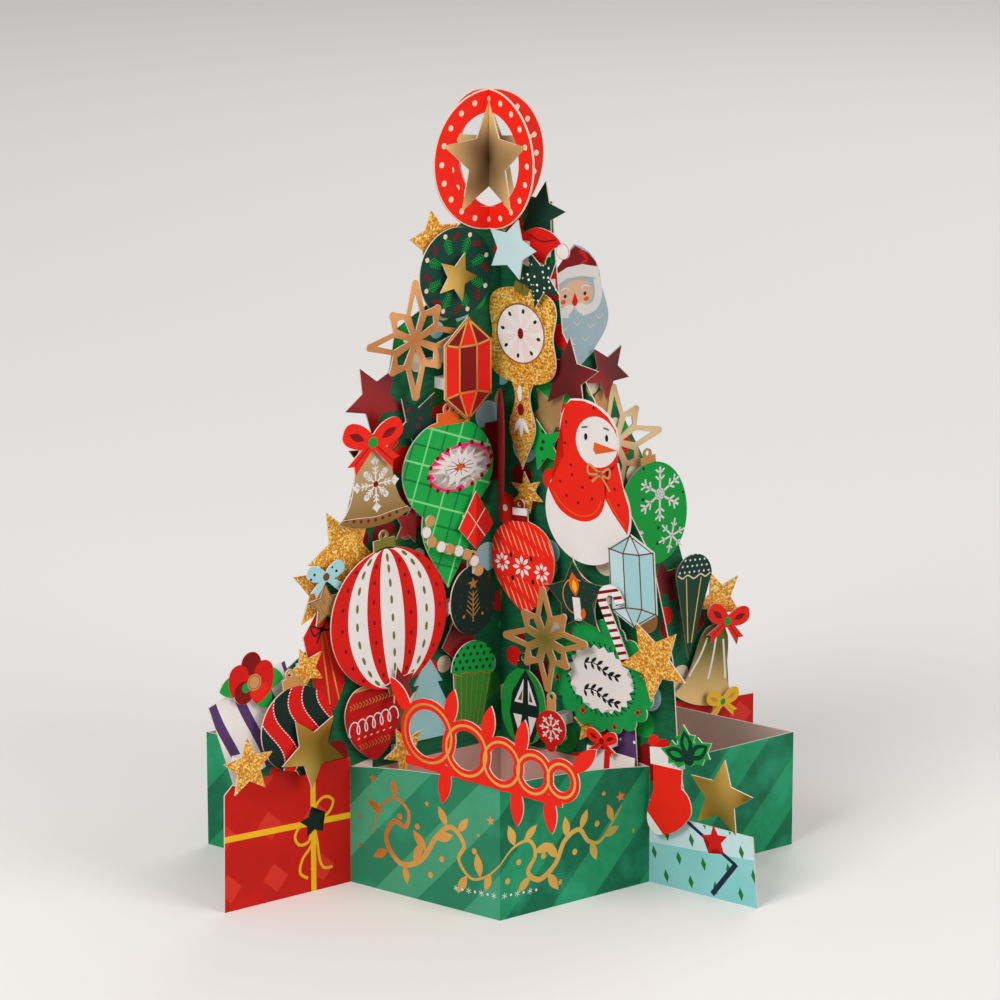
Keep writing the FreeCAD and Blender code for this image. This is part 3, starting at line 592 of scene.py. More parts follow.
# %% [markdown]
# ## Bells and glittered clock
# Printed metal colours fade from one tone to another. A gradient is nothing more than the height on
# the sheet, scaled to run from 0 to 1 and used as a mix share.

# %% Gradients and glitter
sheet, shade, x, y = begin("bell_left")
fade = mix(shade.ramp((y + 13.0) / 26.0), "8a6530", "d8bd8a")
sheet.close(fade, foil=shade.noise(2200.0) * 0.5, foil_rough=0.4)

sheet, shade, x, y = begin("bell_right")
sheet.close(mix(shade.ramp((y + 11.0) / 16.0), "f4ca86", "6a651c"), foil=0.1, foil_rough=0.4)

sheet, shade, x, y = begin("clock")
colour, drawn = glitter(shade, "b0701c", "e8a832", "ffe08c", 0.74)
sheet.close(colour, foil=drawn * 0.6, foil_rough=0.36)

# %% Wood, dots and trims
sheet, shade, x, y = begin("wood_star")
streaks = shade.noise(0.55, 3.0, shade.flat(x * 2.2 + y * 0.9, y * 0.16))
wood = mix(shade.math("FRACT", streaks * 6.0), "8a5f2e", "c79a5c")
sheet.close(mix(star_field(x, y, 7.05), "light blue", wood))

sheet, shade, x, y = begin("dotted_cone")
colour = mix((y > 0.4) * (spots(x, y, 2.0, 1.9, 1.0) < 0.36), "dark green", "white")
sheet.close(mix(y < 0.0, colour, "0b3d2c"))

sheet, shade, x, y = begin("cupcake")
colour = mix((y > 2.4) * (spots(x, y, 2.6, 2.1, 1.3) < 0.6), "green", "black green")
sheet.close(mix(y < 1.6, colour, "2c8a2c"))

sheet, shade, x, y = begin("red_flower")
sheet.close(mix(radius(x, y) > sheet.height * 0.46, "red", "green"))

steep = Shade("steep_bauble")
dress("steep_bauble", card(steep, mix(steep.noise(60.0), "5c0408", "8e0a10")))

# %% [markdown]
# ## Topper
# Two discs cross at a right angle. Their ring is printed orange red with cream dots; the star is gold
# foil whose side tips run out over the ring. The dots are placed by angle: the turn round the middle
# is folded into equal wedges, and each wedge carries one dot.

# %% Ring, dots and foil star
TOPPER_DOTS = 20

for sheet in (hung("topper_disc_a"), Sheet("topper_disc_b", "cross")):
    shade, x, y = sheet.start()
    rim = sheet.width / 2
    out, beside = arms(x, y, TOPPER_DOTS)
    reach = radius(x, y)
    colour = mix(radius(out - rim * 0.86, beside) < 0.9, "bright red", "cream")
    colour = mix(reach > rim - 0.3, colour, "cream")
    gold = star_field(x, y, rim * 0.87)
    glow = shade.ramp(reach / (rim * 0.75) + (shade.noise(60.0, 1.0) - 0.6) * 1.2, 0.2)
    sheet.close(mix(gold, colour, mix(glow, "3e2306", "f2c888")), foil=gold * 0.4, back=None)

# %% [markdown]
# ## Base walls and tree sheets
# The ring's strips are printed outside with slanted bands of two greens and a mottled texture, and
# stay pale inside; the left half of the front strip is painted paler, as painted light from the lamp.
# The tree sheets carry the presents at their feet, one on each wing; higher up, between the
# ornaments, they show a crowd of small printed baubles on dark fir green. Inside the ring their foot
# is painted a darker pink, as painted shade.

# %% Green bands on the ring
for name in ("wall_front", "wall_right", "wall_rear", "wall_left"):
    shade = Shade(name)
    place, normal = shade.part(0), shade.normal()
    outward = shade.node("VectorMath", {"operation": "SUBTRACT"}, {0: shade.point(), 1: tuple(AXIS)})
    facing = shade.dot(outward, normal)
    band = abs(repeat(place * 1290.0 - shade.part(2) * METRE + 6.0, 34.0)) < 0.24
    mottle, stain = shade.noise(330.0, 5.0), shade.noise(60.0, 3.0)
    colour = mix(band, mix(mottle, "04553a", "077a50"), mix(mottle, "0a7d4e", "249c68"))
    # Painted light: the half of the front strip left of the axis is painted paler, as if lit by the lamp.
    if name == "wall_front":
        pale = mix(mottle * 0.4, mix(band, "2f8c66", "56ab86"), "1b7550")
        colour = mix((place < AXIS.x) * 0.75, colour, pale)
    colour = mix(shade.largest(stain - 0.52, 0.0) * 2.2, colour, "35b48a")
    colour = mix(facing > 0.02, mix(stain, "f6e4dc", "e8cabc"), colour)
    dress(name, card(shade, mix(abs(shade.part(2, normal)) > 0.5, colour, CORE)))

# %% Tree sheets
CROWD = ("red", "green", "tan", "dark red", "light blue", "leaf green", "bright red", "cream")
CROWD_SCALE = 0.105     # baubles to the millimetre
CROWD_SHIFT = 61.0      # keeps the two sheets' patterns from mirroring one another at the axis
RIBBON = 0.95           # half the width of a present's ribbon


def crowd(shade, along, height):
    """Small printed baubles on fir green, for what shows between the ornaments."""
    cell = {"loose": 0.75, "vector": shade.flat(along, height)}
    near, drawn = shade.cells(CROWD_SCALE, **cell), shade.draw(CROWD_SCALE, **cell)
    needles = shade.noise(0.9, 3.0, shade.flat(along * 0.25, height))
    ball = CROWD[0]
    for i, ink in enumerate(CROWD[1:]):
        ball = mix(drawn > (i + 1) / len(CROWD), ball, ink)
    ball = mix(near < 0.12, ball, "cream")
    return mix(near < 0.5, mix(needles, "0a3d28", "167a4c"), ball)


def wing_red(shade, along, height, at, level):
    """Red present: lighter diamonds and a yellow ribbon crossing at (at, level)."""
    rx, ry = repeat(along + height * 0.12, 17.0) * 17.0, repeat(height - 7.0, 16.5) * 16.5
    colour = mix(shade.noise(70.0, 3.0), "b80a06", "e01c10")
    colour = mix(((abs(rx) + abs(ry)) < 4.6) * 0.75, colour, "e6382a")
    ribbons = shade.largest(abs(along - at) < RIBBON, abs(height - level + (along - at) * 0.03) < RIBBON)
    return mix(ribbons, colour, "yellow")


def wing_blue(shade, along, height):
    """Light blue present with a paler lid and small dark leaves."""
    colour = mix(shade.noise(60.0, 3.0), "7ccfcc", "a6dfe0")
    colour = mix(height > 12.5 + (along - 56.0) * 0.05, colour, "cdeaee")
    lx = repeat(along + shade.math("FLOOR", height / 6.5) * 4.6, 9.2) * 9.2
    ly = repeat(height - 3.2, 6.5) * 6.5
    return mix((abs(lx + ly * 0.2) / 0.95 + abs(ly) / 2.1) < 1.0, colour, "leaf green")


def axis_sheet(name, face, x0=0.0):
    """Drawing coordinates counted from the axis and from the table."""
    sheet = Sheet(name, face)
    sheet.x0, sheet.y0 = x0, 0.0
    return sheet


for name, face in (("tree_sheet_a", "a"), ("tree_sheet_b", "b")):
    sheet = axis_sheet(name, face)
    shade, along, height = sheet.start()
    ring = math.hypot(half_width, half_depth) / MM / 2
    colour = crowd(shade, along + (0.0 if face == "a" else CROWD_SHIFT), height)
    # Painted shade: inside the ring, below its top, the sheet is painted a darker pink than the inner walls.
    colour = mix((abs(along) < ring) * (height < 34.0), colour, "cf9f92")
    if face == "a":
        left, low = wing_red(shade, along, height, -71.8, 21.4), 39.0
        right, high = wing_red(shade, along, height, 88.0, 14.0), 31.0
    else:
        left = right = wing_blue(shade, along, height)
        low = high = 23.0
    colour = mix((along < -ring) * (height < low), colour, left)
    sheet.close(mix((along > ring) * (height < high), colour, right), back=None)

print("without a finish:", sorted(set(nodes) - dressed))

# %% [markdown]
# ## Thin printed drawings
# Faces, snowflakes, curls and foil lines have no repeating rule. They are drawn as outlines in the
# sheet's own millimetres and laid a few hundredths of a millimetre above it, like a screen print.
# Every drawing becomes one mesh per sheet, with one material for each ink it uses.

# %% Outlines to draw with
NEEDLE_TURN = 45.84     # degrees between a twig and its needles
BARB_TURN = 51.57       # degrees between an arm of a snowflake and its barbs


def away(turn, reach, x=0.0, y=0.0):
    """Point `reach` from (x, y); a turn of 0 is upwards, and turns run anticlockwise."""
    a = math.radians(turn)
    return x - math.sin(a) * reach, y + math.cos(a) * reach


def oval(x, y, wide, high=None, turn=0.0, count=28):
    high = wide if high is None else high
    c, s = math.cos(math.radians(turn)), math.sin(math.radians(turn))
    loop = []
    for i in range(count):
        a = 2 * math.pi * i / count
        px, py = wide * math.cos(a), high * math.sin(a)
        loop.append((x + px * c - py * s, y + px * s + py * c))
    return [loop]


def burst(x, y, reach, count=5, waist=STAR_WAIST, turn=0.0, squash=1.0):
    """Star outline; `squash` flattens it."""
    loop = []
    for i in range(2 * count):
        px, py = away(turn + 180 * i / count, reach if i % 2 == 0 else reach * waist)
        loop.append((x + px, y + py * squash))
    return [loop]


def smooth(points, steps=8):
    """A soft line through all the points."""
    ends = [points[0]] + list(points) + [points[-1]]
    line = []
    for i in range(len(points) - 1):
        p, q, r, s = ends[i:i + 4]
        for t in (k / steps for k in range(steps)):
            line.append(tuple(0.5 * (2 * q[j] + (r[j] - p[j]) * t
                                     + (2 * p[j] - 5 * q[j] + 4 * r[j] - s[j]) * t * t
                                     + (3 * q[j] - p[j] - 3 * r[j] + s[j]) * t ** 3) for j in (0, 1)))
    return line + [tuple(points[-1])]


def stroke(points, width, soft=True, taper=False):
    """A pen line: four cornered pieces that follow the points."""
    line = smooth(points) if soft and len(points) > 2 else list(points)
    left, right = [], []
    for i, (x, y) in enumerate(line):
        ax, ay = line[max(i - 1, 0)]
        bx, by = line[min(i + 1, len(line) - 1)]
        length = math.hypot(bx - ax, by - ay) or 1.0
        nx, ny = -(by - ay) / length, (bx - ax) / length
        share = i / (len(line) - 1)
        half = width / 2 * (0.25 + 0.75 * math.sin(math.pi * share) if taper else 1.0)
        left.append((x + nx * half, y + ny * half))
        right.append((x - nx * half, y - ny * half))
    return [[right[i], right[i + 1], left[i + 1], left[i]] for i in range(len(line) - 1)]


def pen(width, *lines):
    """Soft pen lines of one width."""
    return [loop for points in lines for loop in stroke(points, width)]


def outline(loop, width):
    return stroke(list(loop) + [loop[0]], width, soft=False)


def flake(x, y, reach, count, width, turn, barbs):
    """Snowflake: arms with pairs of barbs."""
    loops = []
    for i in range(count):
        a = -turn - 360.0 * i / count
        loops += stroke([(x, y), away(a, reach, x, y)], width)
        for barb in barbs:
            root = away(a, reach * barb, x, y)
            for side in (BARB_TURN, -BARB_TURN):
                loops += stroke([root, away(a + side, reach * 0.26, *root)], width * 0.85)
    return loops


def sprig(x, y, length, turn, width, pairs=5):
    """Fir twig pointing away from (x, y)."""
    loops = stroke([(x, y), away(turn, length, x, y)], width)
    for i in range(pairs):
        share = (i + 1) / (pairs + 1)
        root = away(turn, length * share, x, y)
        for side in (-NEEDLE_TURN, NEEDLE_TURN):
            needle = length * 0.36 * (1.15 - share * 0.6)
            loops += stroke([root, away(turn + side, needle, *root)], width * 0.8)
    return loops


def leaf(x, y, length, wide, turn):
    """Pointed leaf that grows from (x, y)."""
    loop = []
    for k in range(12):
        share = min(k, 12 - k) / 6
        half = math.copysign(wide / 2 * math.sin(math.pi * share), 6 - k)
        loop.append(away(turn - 90, half, *away(turn, length * share, x, y)))
    return [loop]


# %% Inks and the drawing itself
METAL = {"gold": 0.85, "brown": 0.3}
RISE = 0.02             # first ink layer above the sheet, in millimetres
RISE_STEP = 0.006       # from one ink layer to the next
ink_boards = {}
drawings = []


def ink_board(name):
    if name not in ink_boards:
        shade = Shade("ink_" + name.replace(" ", "_"))
        colour = mix(shade.noise(70.0) * 0.6, name, dim(name, 0.8))
        ink_boards[name] = card(shade, colour, METAL.get(name, 0.0))
    return ink_boards[name]


class Drawing:
    def __init__(self, sheet, label=""):
        self.sheet = hung(sheet) if isinstance(sheet, str) else sheet
        self.label, self.parts, self.rise = label, [], RISE
        drawings.append(self)

    def also(self, name, *shapes):
        """Lay shapes at the height of the layer that comes next."""
        self.parts += [(name, loop, self.rise) for shape in shapes for loop in shape]

    def ink(self, name, *shapes):
        """Lay shapes of one ink over everything drawn so far."""
        self.also(name, *shapes)
        self.rise += RISE_STEP

    def make(self):
        builder = bmesh.new()
        names = list(dict.fromkeys(name for name, _, _ in self.parts))
        for name, loop, rise in self.parts:
            corners = [builder.verts.new(self.sheet.place(x, y, rise)) for x, y in loop]
            builder.faces.new(corners).material_index = names.index(name)
        bmesh.ops.triangulate(builder, faces=builder.faces[:])
        title = "print_" + self.sheet.name + self.label
        mesh = bpy.data.meshes.new(title)
        builder.to_mesh(mesh)
        builder.free()
        for name in names:
            mesh.materials.append(ink_board(name))
        piece = bpy.data.objects.new(title, mesh)
        bpy.context.collection.objects.link(piece)
        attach(piece, "root")
        return len(mesh.polygons)


# %% [markdown]
# ## Drawings on the left front face
# Each drawing starts from its sheet and lays ink in the order a printer would: large fields first,
# fine lines and foil last.

# %% Wreath, crystals, kite
d = Drawing("fir_wreath")
rim = d.sheet.width / 2
for a in range(20, 380, 45):
    far = away(a, rim * 0.88)
    d.ink("green", sprig(*far, rim * 0.42, a + 180, 0.35))
    d.ink("cream", oval(*far, 0.75))
    d.ink("dark red", oval(*away(a + 24, rim * 0.84), 0.8), oval(*away(a + 30.88, rim * 0.76), 0.7))


def crystal(name, shoulder, mid, fields, line, width):
    """Cut stone: nine fields of colour and the foil lines between them."""
    d = Drawing(name)
    w, h = d.sheet.width / 2, d.sheet.height / 2
    up, low, s = shoulder - 1.2, -shoulder + 1.2, shoulder
    places = [[(-mid, up), (-mid, low), (mid, low), (mid, up)],
              [(-w, s), (-w, -s), (-mid, low), (-mid, up)], [(w, s), (mid, up), (mid, low), (w, -s)],
              [(0, h), (-w, s), (-mid, up)], [(0, h), (mid, up), (w, s)], [(0, h), (-mid, up), (mid, up)],
              [(0, -h), (-mid, low), (-w, -s)], [(0, -h), (w, -s), (mid, low)],
              [(0, -h), (mid, low), (-mid, low)]]
    for place, ink in zip(places, fields):
        d.ink(ink, [place])
    lines = [[(-w, s), (-mid, up), (mid, up), (w, s)], [(-w, -s), (-mid, low), (mid, low), (w, -s)],
             [(0, h), (-mid, up), (-mid, low), (0, -h)], [(0, h), (mid, up), (mid, low), (0, -h)]]
    edge = [(x * 0.96, y * 0.96) for x, y in ((0, h), (-w, s), (-w, -s), (0, -h), (w, -s), (w, s))]
    d.ink(line, outline(edge, width), *[stroke(points, width, soft=False) for points in lines])


dark, red, light, pale = "dark red", "bright red", "light blue", "pale blue"
crystal("red_crystal", 8.2, 3.3, (dark, red, "red", dark, dark, red, dark, dark, red), "gold", 0.6)
crystal("blue_crystal", 9.4, 3, (light, pale, light, light, pale, pale, pale, light, light), "brown", 0.42)

d = Drawing("red_kite")
d.ink("cream", pen(0.3, [(-3.4, 5.2), (3.4, -3.5)], [(3.4, 5.2), (-3.4, -3.5)]))

# %% Plaid bauble, green oval, bead garland
d = Drawing("plaid_bauble")
cx, cy = 4.4, -0.3
d.ink("bright pink", oval(cx, cy, 12.3, 7, 8))
d.ink("blush", burst(cx, cy, 11.88, 19, 0.62, 0, 0.5758))
d.ink("white", burst(cx, cy, 10.8, 19, 0.6, 3, 0.56))
for a in (math.radians(30 * i + 8) for i in range(12)):
    c, s = math.cos(a), math.sin(a)
    d.also("brown", stroke([(cx + c * 1.5, cy + s * 0.9), (cx + c * 5.2, cy + s * 2.7)], 0.2))
d.ink("orange", burst(cx, cy, 2.1, 7, 0.5, 0, 0.7))
for a in (math.radians(22.5 * i) for i in range(16)):
    d.also("dark red", oval(cx + math.cos(a) * 12, cy + math.sin(a) * 7.0 + math.cos(a) * 1.6, 0.7))

d = Drawing("green_oval")
d.ink("gold", burst(0, 5.2, 2), sprig(0, -6.6, 9.6, 0, 0.42), oval(-3.6, -4.6, 0.5), oval(3.6, -4.6, 0.5))

d = Drawing(axis_sheet("bead_garland", "a"))
for i, (x, y) in enumerate(((-33.6, 109.5), (-35.1, 106.2), (-33, 103), (-29.6, 101), (-26.3, 99.7),
                            (-22.9, 98.6), (-19.6, 97), (-16.9, 94.6), (-15.2, 91.4))):
    d.ink("white" if i % 2 else "tan", oval(x, y, 1.62))

# %% Bells and bows
d = Drawing("bell_left")
x, y = 0.6, -0.8
for i in range(8):
    long, a = i % 2 == 0, -45 * i
    size = 7.0 if long else 7.0 * 0.72
    tip = away(a, size, x, y)
    d.ink("white", stroke([(x, y), tip], 0.55), burst(*tip, 1.7, 4, 0.62, a) if long else oval(*tip, 1))
    for root in (away(a, size * share, x, y) for share in (0.42, 0.6)):
        for side in (NEEDLE_TURN, -NEEDLE_TURN):
            d.also("white", stroke([root, away(a + side, 1.5, *root)], 0.4))
d.ink("dark red", oval(x, y, 0.95))
for x in (-10.6 + 2.65 * i for i in range(9)):
    d.ink("dark red", oval(x, -11.6 + 0.016 * x * x, 0.55))
d.ink("cream", stroke([(-12.2, -9.6), (-6, -10), (0, -10.6), (6, -10), (12.2, -9.6)], 0.2))

d = Drawing("bell_right")
d.ink("white", pen(0.8, [(-3.2, 8.2), (-5, 2), (-8.2, -4.6)], [(0.4, 9.6), (0.6, 2), (0.2, -5)],
                   [(3.6, 8.2), (5.6, 2), (7.6, -4.4)]))

BOW_WIDTH, BOW_HEIGHT, BOW_KNOT = 22.34, 15.85, 9.25    # of the bow the lines are drawn for


def bow_lines(name, face, tilt=0, near=None, knot="green", fold="dark red", label=""):
    """Inner loops, folds and the knot of a bow."""
    sheet = Sheet(name, face, tilt, near=near)
    s = sheet.width / BOW_WIDTH
    sheet.y0 += (BOW_KNOT - BOW_HEIGHT / 2) * s
    d = Drawing(sheet, label)
    for side in (-1, 1):
        d.ink(fold, leaf(side * 3.2 * s, 1.0 * s, 6.0 * s, 2.4 * s, -side * 66))
        d.ink(fold, stroke([(side * 1.6 * s, -1.4 * s), (side * 6.8 * s, -6.0 * s)], 0.3))
    d.ink(knot, oval(0, 0, 1.7 * s))


bow_lines("red_bows", "a", near=(-53.4, 136, 15), label="_left")
bow_lines("red_bows", "a", -13, near=(89, 57, 12), label="_right")
bow_lines("red_bows", "b", near=(44.6, 43, 8), knot="dark red", label="_low")
bow_lines("yellow_bow", "a", fold="tan")

# %% Striped, curled and small baubles
d = Drawing("striped_bauble")
ball = d.sheet.width / 2
for ink, long, step, meridians in (("olive", 1.35, 15, (-33.5, 3.5, 40.5)),
                                   ("dark red", 0.75, 17, (-54, -15, 22, 62))):
    for longitude in meridians:
        s = math.sin(math.radians(longitude))
        wide = 0.4 if longitude > 60 else 0.5
        for latitude in (math.radians(k * step) for k in range(-4, 5) if abs(k * step) <= 66):
            x, y = ball * s * math.cos(latitude), ball * math.sin(latitude)
            lean = math.degrees(math.atan2(s * math.sin(latitude), math.cos(latitude)))
            d.also(ink, oval(x, y, wide, long, lean, 12))
d.ink("black green", stroke([(-3.4, ball - 0.4), (0, ball + 0.2), (3.4, ball - 0.4)], 0.5))

LOOPS = 6 * 2 * math.pi     # six turns of the curled line

d = Drawing("curl_bauble")
curls = [(-8.8 + 17.6 * t - 1.15 * math.sin(LOOPS * t), -0.9 + 1.6 * t - 2.1 * math.cos(LOOPS * t))
         for t in (i / 96 for i in range(97))]
d.ink("white", stroke(curls, 0.42, soft=False))
for row, half in ((6.4, 8.6), (-6.8, 6)):
    count = int(half / 1.2)
    for x in (i * 1.2 for i in range(-count, count)):
        y = row + x * 0.06
        d.also("gold", stroke([(x, y + 0.9), (x + 0.8, y), (x, y - 0.9)], 0.3, soft=False))
for i in range(6):
    d.also("cream", oval(-6.0 + 2.4 * i, -4.2 + 0.1 * i, 0.5, 0.22, 20, 10))

d = Drawing("small_bauble")
d.ink("white", flake(0, 0, 4.3, 8, 0.55, 0, (0.62,)))
d.ink("red", oval(0, 0, 0.8))

# %% Tag, wood star, flower, cupcake
d = Drawing("red_tag")
d.ink("gold", pen(0.55, [(0.4, 9), (-1.2, -13.6)], [(1.7, 9), (2.3, -13.4)]))
knot = (1, 10)
d.ink("black green", pen(0.6, [knot, (-2.6, 12.2), (-2, 9), knot], [knot, (3.8, 12), (3.6, 9), knot],
                         [knot, (-1.8, 6.4)]), oval(*knot, 0.9))

d = Drawing("wood_star")
d.ink("brown", oval(0.6, 8.6, 1.2), outline(burst(0, 0, 6.5)[0], 0.25))
d.ink("navy", oval(-3.6, 10.2, 0.45), oval(-5, 9, 0.4), oval(4.4, 9.6, 0.45), oval(3, 11, 0.35))

d = Drawing("red_flower")
for i, ink in enumerate(("dark red", "red", "dark red", "bright red", "red")):
    d.ink(ink, oval(*away(72 * i, 4.64), 3.4))
d.ink("green", oval(-1.9, -2.4, 1.5))
d.ink("tan", oval(1, -1.2, 2.5))
d.ink("brown", outline(oval(1, -1.2, 2)[0], 0.2))

d = Drawing("cupcake")
for i in range(-3, 4):
    d.ink("gold", stroke([(i * 2.25, 1.6), (i * 1.55, -14.6)], 0.3))
d.ink("gold", pen(0.45, [(-7.8 + 2.6 * i, 1.0 if i % 2 else 1.8) for i in range(7)]))

# %% [markdown]
# ## Drawings on the right front face
# The clock keeps its dial marks as plain dots. The snowman and the bearded head are simple folk
# figures: a few ovals and pen lines. The plaque shows two leafy twigs on a white field.

# %% Clock
d = Drawing("clock")
cx, cy, dial = -0.6, 0.5, 8.8
d.ink("gold", oval(cx, cy, dial + 0.5))
d.ink("dial", oval(cx, cy, dial))
for a in range(0, 360, 45):
    d.ink("white", [[(cx, cy)] + [away(a + k, dial, cx, cy) for k in (-9, -3, 3, 9)]])
for a in range(8, 368, 45):
    d.ink("black", oval(*away(-a, dial * 0.78, cx, cy), 0.5, 0.75, -a))
d.ink("white", oval(cx, cy, 1.9))
d.ink("dark red", oval(cx, cy, 1.1, 1.7))
d.ink("olive", leaf(-0.6, 12.2, 5, 3.6, 18), leaf(-0.2, 12, 4.4, 3, -36))
d.ink("white", oval(-0.8, -17.7, 0.85, 2.5))
d.ink("dark red", oval(-0.5, -22.6, 1.2, 1.9))
d.ink("white", leaf(-0.4, -25, 5.6, 1.5, 152), leaf(-0.2, -25.2, 6.2, 1.5, 180),
      leaf(0.1, -25, 5.6, 1.5, 208))
d.ink("black", outline(oval(cx, cy, dial + 0.1)[0], 0.12))

# %% Snowman
d = Drawing("snowman")
hood = [(-9.4, 18.4), (-9.9, 23), (-9.9, 27.6), (-8.6, 31.6), (-6.6, 33.2), (-2, 33.7), (3, 32.6),
        (7.4, 30), (10.4, 26.4), (11.2, 22.4), (11, 16.3), (7.5, 12.5)]
hem = smooth([(6.2, 9), (6.4, 4), (4.2, -0.4), (-0.6, -2.9), (-6.2, -2.6), (-11, -0.2),
              (-14.2, 4)], 4)
cape = hood + hem + [(-15.2, 6), (-13.8, 7.6), (-9.2, 16.2)]
flap = [(7, 14), (11, 16.3), (12.6, 11), (13.6, 8), (15.4, 3.6), (15.7, 0), (14.9, -4.6),
        (12.4, -2), (9.4, 1.2), (6.4, 5.2), (6, 10)]
d.ink("bright red", [cape], [flap])
d.ink("orange", stroke([(-13, 4.6), (-9.8, 1.2), (-5.6, -1), (-0.8, -1.3), (3.2, 0.9), (5, 4.2)], 0.35),
      stroke([(7.4, 5.4), (10.4, 1.4), (13.6, -1.8)], 0.3))
d.ink("white", oval(3.3, 21.9, 7.9, 7.7, 12))
for x, y in ((-10.4, 8), (-6, 10.6), (-2, 7.4), (-8, 4), (-3.6, 2.4), (1.6, 4.4), (1, 10.8),
             (-6.4, 13.6), (10, 8.6), (11.6, 4), (-8.6, 20), (-8.2, 26.4), (2, 32)):
    d.ink("dark red", oval(x, y, 0.45))
d.ink("black", oval(-0.8, 23, 0.6, 1.05), oval(7, 23.6, 0.55, 1.05))
d.ink("slate", pen(0.55, [(-2.4, 25.6), (-0.2, 26.1)], [(5.8, 26.6), (7.8, 26.2)]))
d.ink("orange", [[(2.4, 21.8), (2, 19.4), (3, 18.2), (11, 20.4)]])
knot = (4.6, 12.4)
d.ink("tan", pen(0.7, [knot, (0.6, 14.8), (0.4, 12), knot], [knot, (8, 14.4), (7.8, 11.6), knot],
                 [knot, (1.6, 9.6)]), stroke([knot, (6.6, 10), (8.4, 7.6)], 0.6), oval(*knot, 1))

# %% Bearded head
d = Drawing("bearded_figure")
d.ink("dark red", [[(-9.8, 5.2), (-8.4, 8.2), (-5.4, 11.4), (-0.8, 15), (4.6, 12.1), (7.4, 9.2), (8.4, 6.4),
                    (0, 8.4)]])
d.ink("red", stroke([(1.6, 9), (3.8, 10.4), (1.2, 13.4)], 1.2))
d.ink("white", [[(-10.2, 6.2), (-4, 8.6), (2, 9), (8.6, 7.4), (8.8, 3.8), (2, 5.4), (-4, 5.2),
                 (-10, 2.6)]])
d.ink("white", pen(3, [(-9, 3), (-9.2, -1), (-7.4, -4.6), (-3, -5.6)],
                   [(8, 4), (8.6, -0.6), (7, -4.4), (2, -5.6)]))
d.ink("skin", oval(-0.6, -0.2, 7, 4.6))
d.ink("white", leaf(-1, -3.4, 6.4, 3.4, 112), leaf(-1, -3.4, 6.4, 3.4, 248))
d.ink("orange", oval(-5.4, -1.9, 1, 0.7), oval(3.8, -1.9, 1, 0.7))
d.ink("red", [[(-0.8, 0.6), (-2, -2.4), (-1.2, -3.6), (-0.2, -3.6), (0.4, -2.2)]])
d.ink("navy", oval(-4.6, -0.2, 0.6), oval(3.2, -0.2, 0.6))
d.ink("white", pen(0.4, [(-6.4, 1.8), (-4.6, 2.3), (-3, 1.8)], [(1.6, 1.8), (3.2, 2.3), (5, 1.8)]))
for x, y in ((-5, -10), (0, -9), (5.4, -10.4), (-2.4, -14), (3.2, -14.2), (8.8, -8)):
    d.ink("white", stroke([(x - 1.4, y + 0.8), (x, y - 0.6), (x + 1.6, y + 0.6)], 0.28))

# %% Snowflake baubles
d = Drawing("snowflake_bauble")
d.ink("white", flake(3.2, 5.4, 8.8, 6, 0.75, 8, (0.5, 0.75)), outline(oval(3.2, 5.4, 1.6)[0], 0.6))
d.ink("white", flake(6.2, -9.2, 5.6, 6, 0.6, 22, (0.55,)), sprig(-8.6, -8, 5, -40, 0.5, 3))

d = Drawing("snow_bauble")
for x, y, reach in ((-8, 0.8, 3), (-0.4, -0.1, 3.6), (7.2, -1.3, 3)):
    for a in range(0, 360, 45):
        d.ink("white", leaf(*away(a, 0.9, x, y), reach - 0.9, 1.2, a))
for x, y in ((-4.4, 3.4), (-4.2, -3.8), (3.4, 2.6), (3.6, -4.4)):
    d.ink("black green", oval(x, y, 0.5, 0.8))
d.ink("white", stroke([(-2.8, 16.9), (2.8, 16.9)], 2.2))

# %% Plaque, diamonds, candle
d = Drawing("green_plaque")
cx, cy = 0.4, -0.9
d.ink("dark green", *[stroke([(cx + math.cos(a) * 11, cy + math.sin(a) * 9),
                              (cx + math.cos(a + 0.1) * 13.4, cy + math.sin(a + 0.1) * 11.2)], 0.5)
                      for a in [math.radians(9 * i) for i in range(40)]])
d.ink("white", burst(cx, cy, 12.6, 21, 0.88, 6, 0.82))
for x0, y0 in ((-6.6, 1.6), (-4.6, -6.4)):
    stem = [(x0 + 2.3 * k, y0 + math.sin(1.1 * k) + 0.25 * k) for k in range(6)]
    d.ink("black", stroke(stem, 0.35))
    for k, (x, y) in enumerate(stem):
        d.ink("black", leaf(x, y, 2.9, 1.1, -30 - 6 * k), leaf(x, y, 2.4, 1, -140 + 5 * k))
for x, y in ((-13.6, 8), (-15, -7), (-3.4, -13), (9, -13), (16, -5), (15.2, 7),
             (4.6, 12.8)):
    d.ink("gold", burst(x, y, 1.5, 5, 0.45, x * 3))
    d.ink("dark red", oval(x, y, 0.6))

d = Drawing("diamond_bauble")
d.ink("black green", [[(0.8, 12), (-4.2, 4.2), (-5.2, -2.6), (-3.4, -9.4), (0.6, -12), (3.8, -10.4),
                       (6, -5.6), (6.2, 2), (4.2, 7.6)]])
d.ink("white", [[(0.2, 9), (-3.4, 1.2), (-0.2, 1.2)]], [[(1.8, 9), (2, 1.2), (5.2, 1.2)]],
      [[(-3.8, -2.6), (-1.6, -8.4), (-0.4, -2.6)]], [[(2, -2.6), (2.8, -9), (5.2, -2.6)]])
d.ink("brown", [[(-0.2, 5.6), (-2, 2), (-0.6, 2)]], [[(2.4, 5.6), (2.4, 2), (3.8, 2)]])

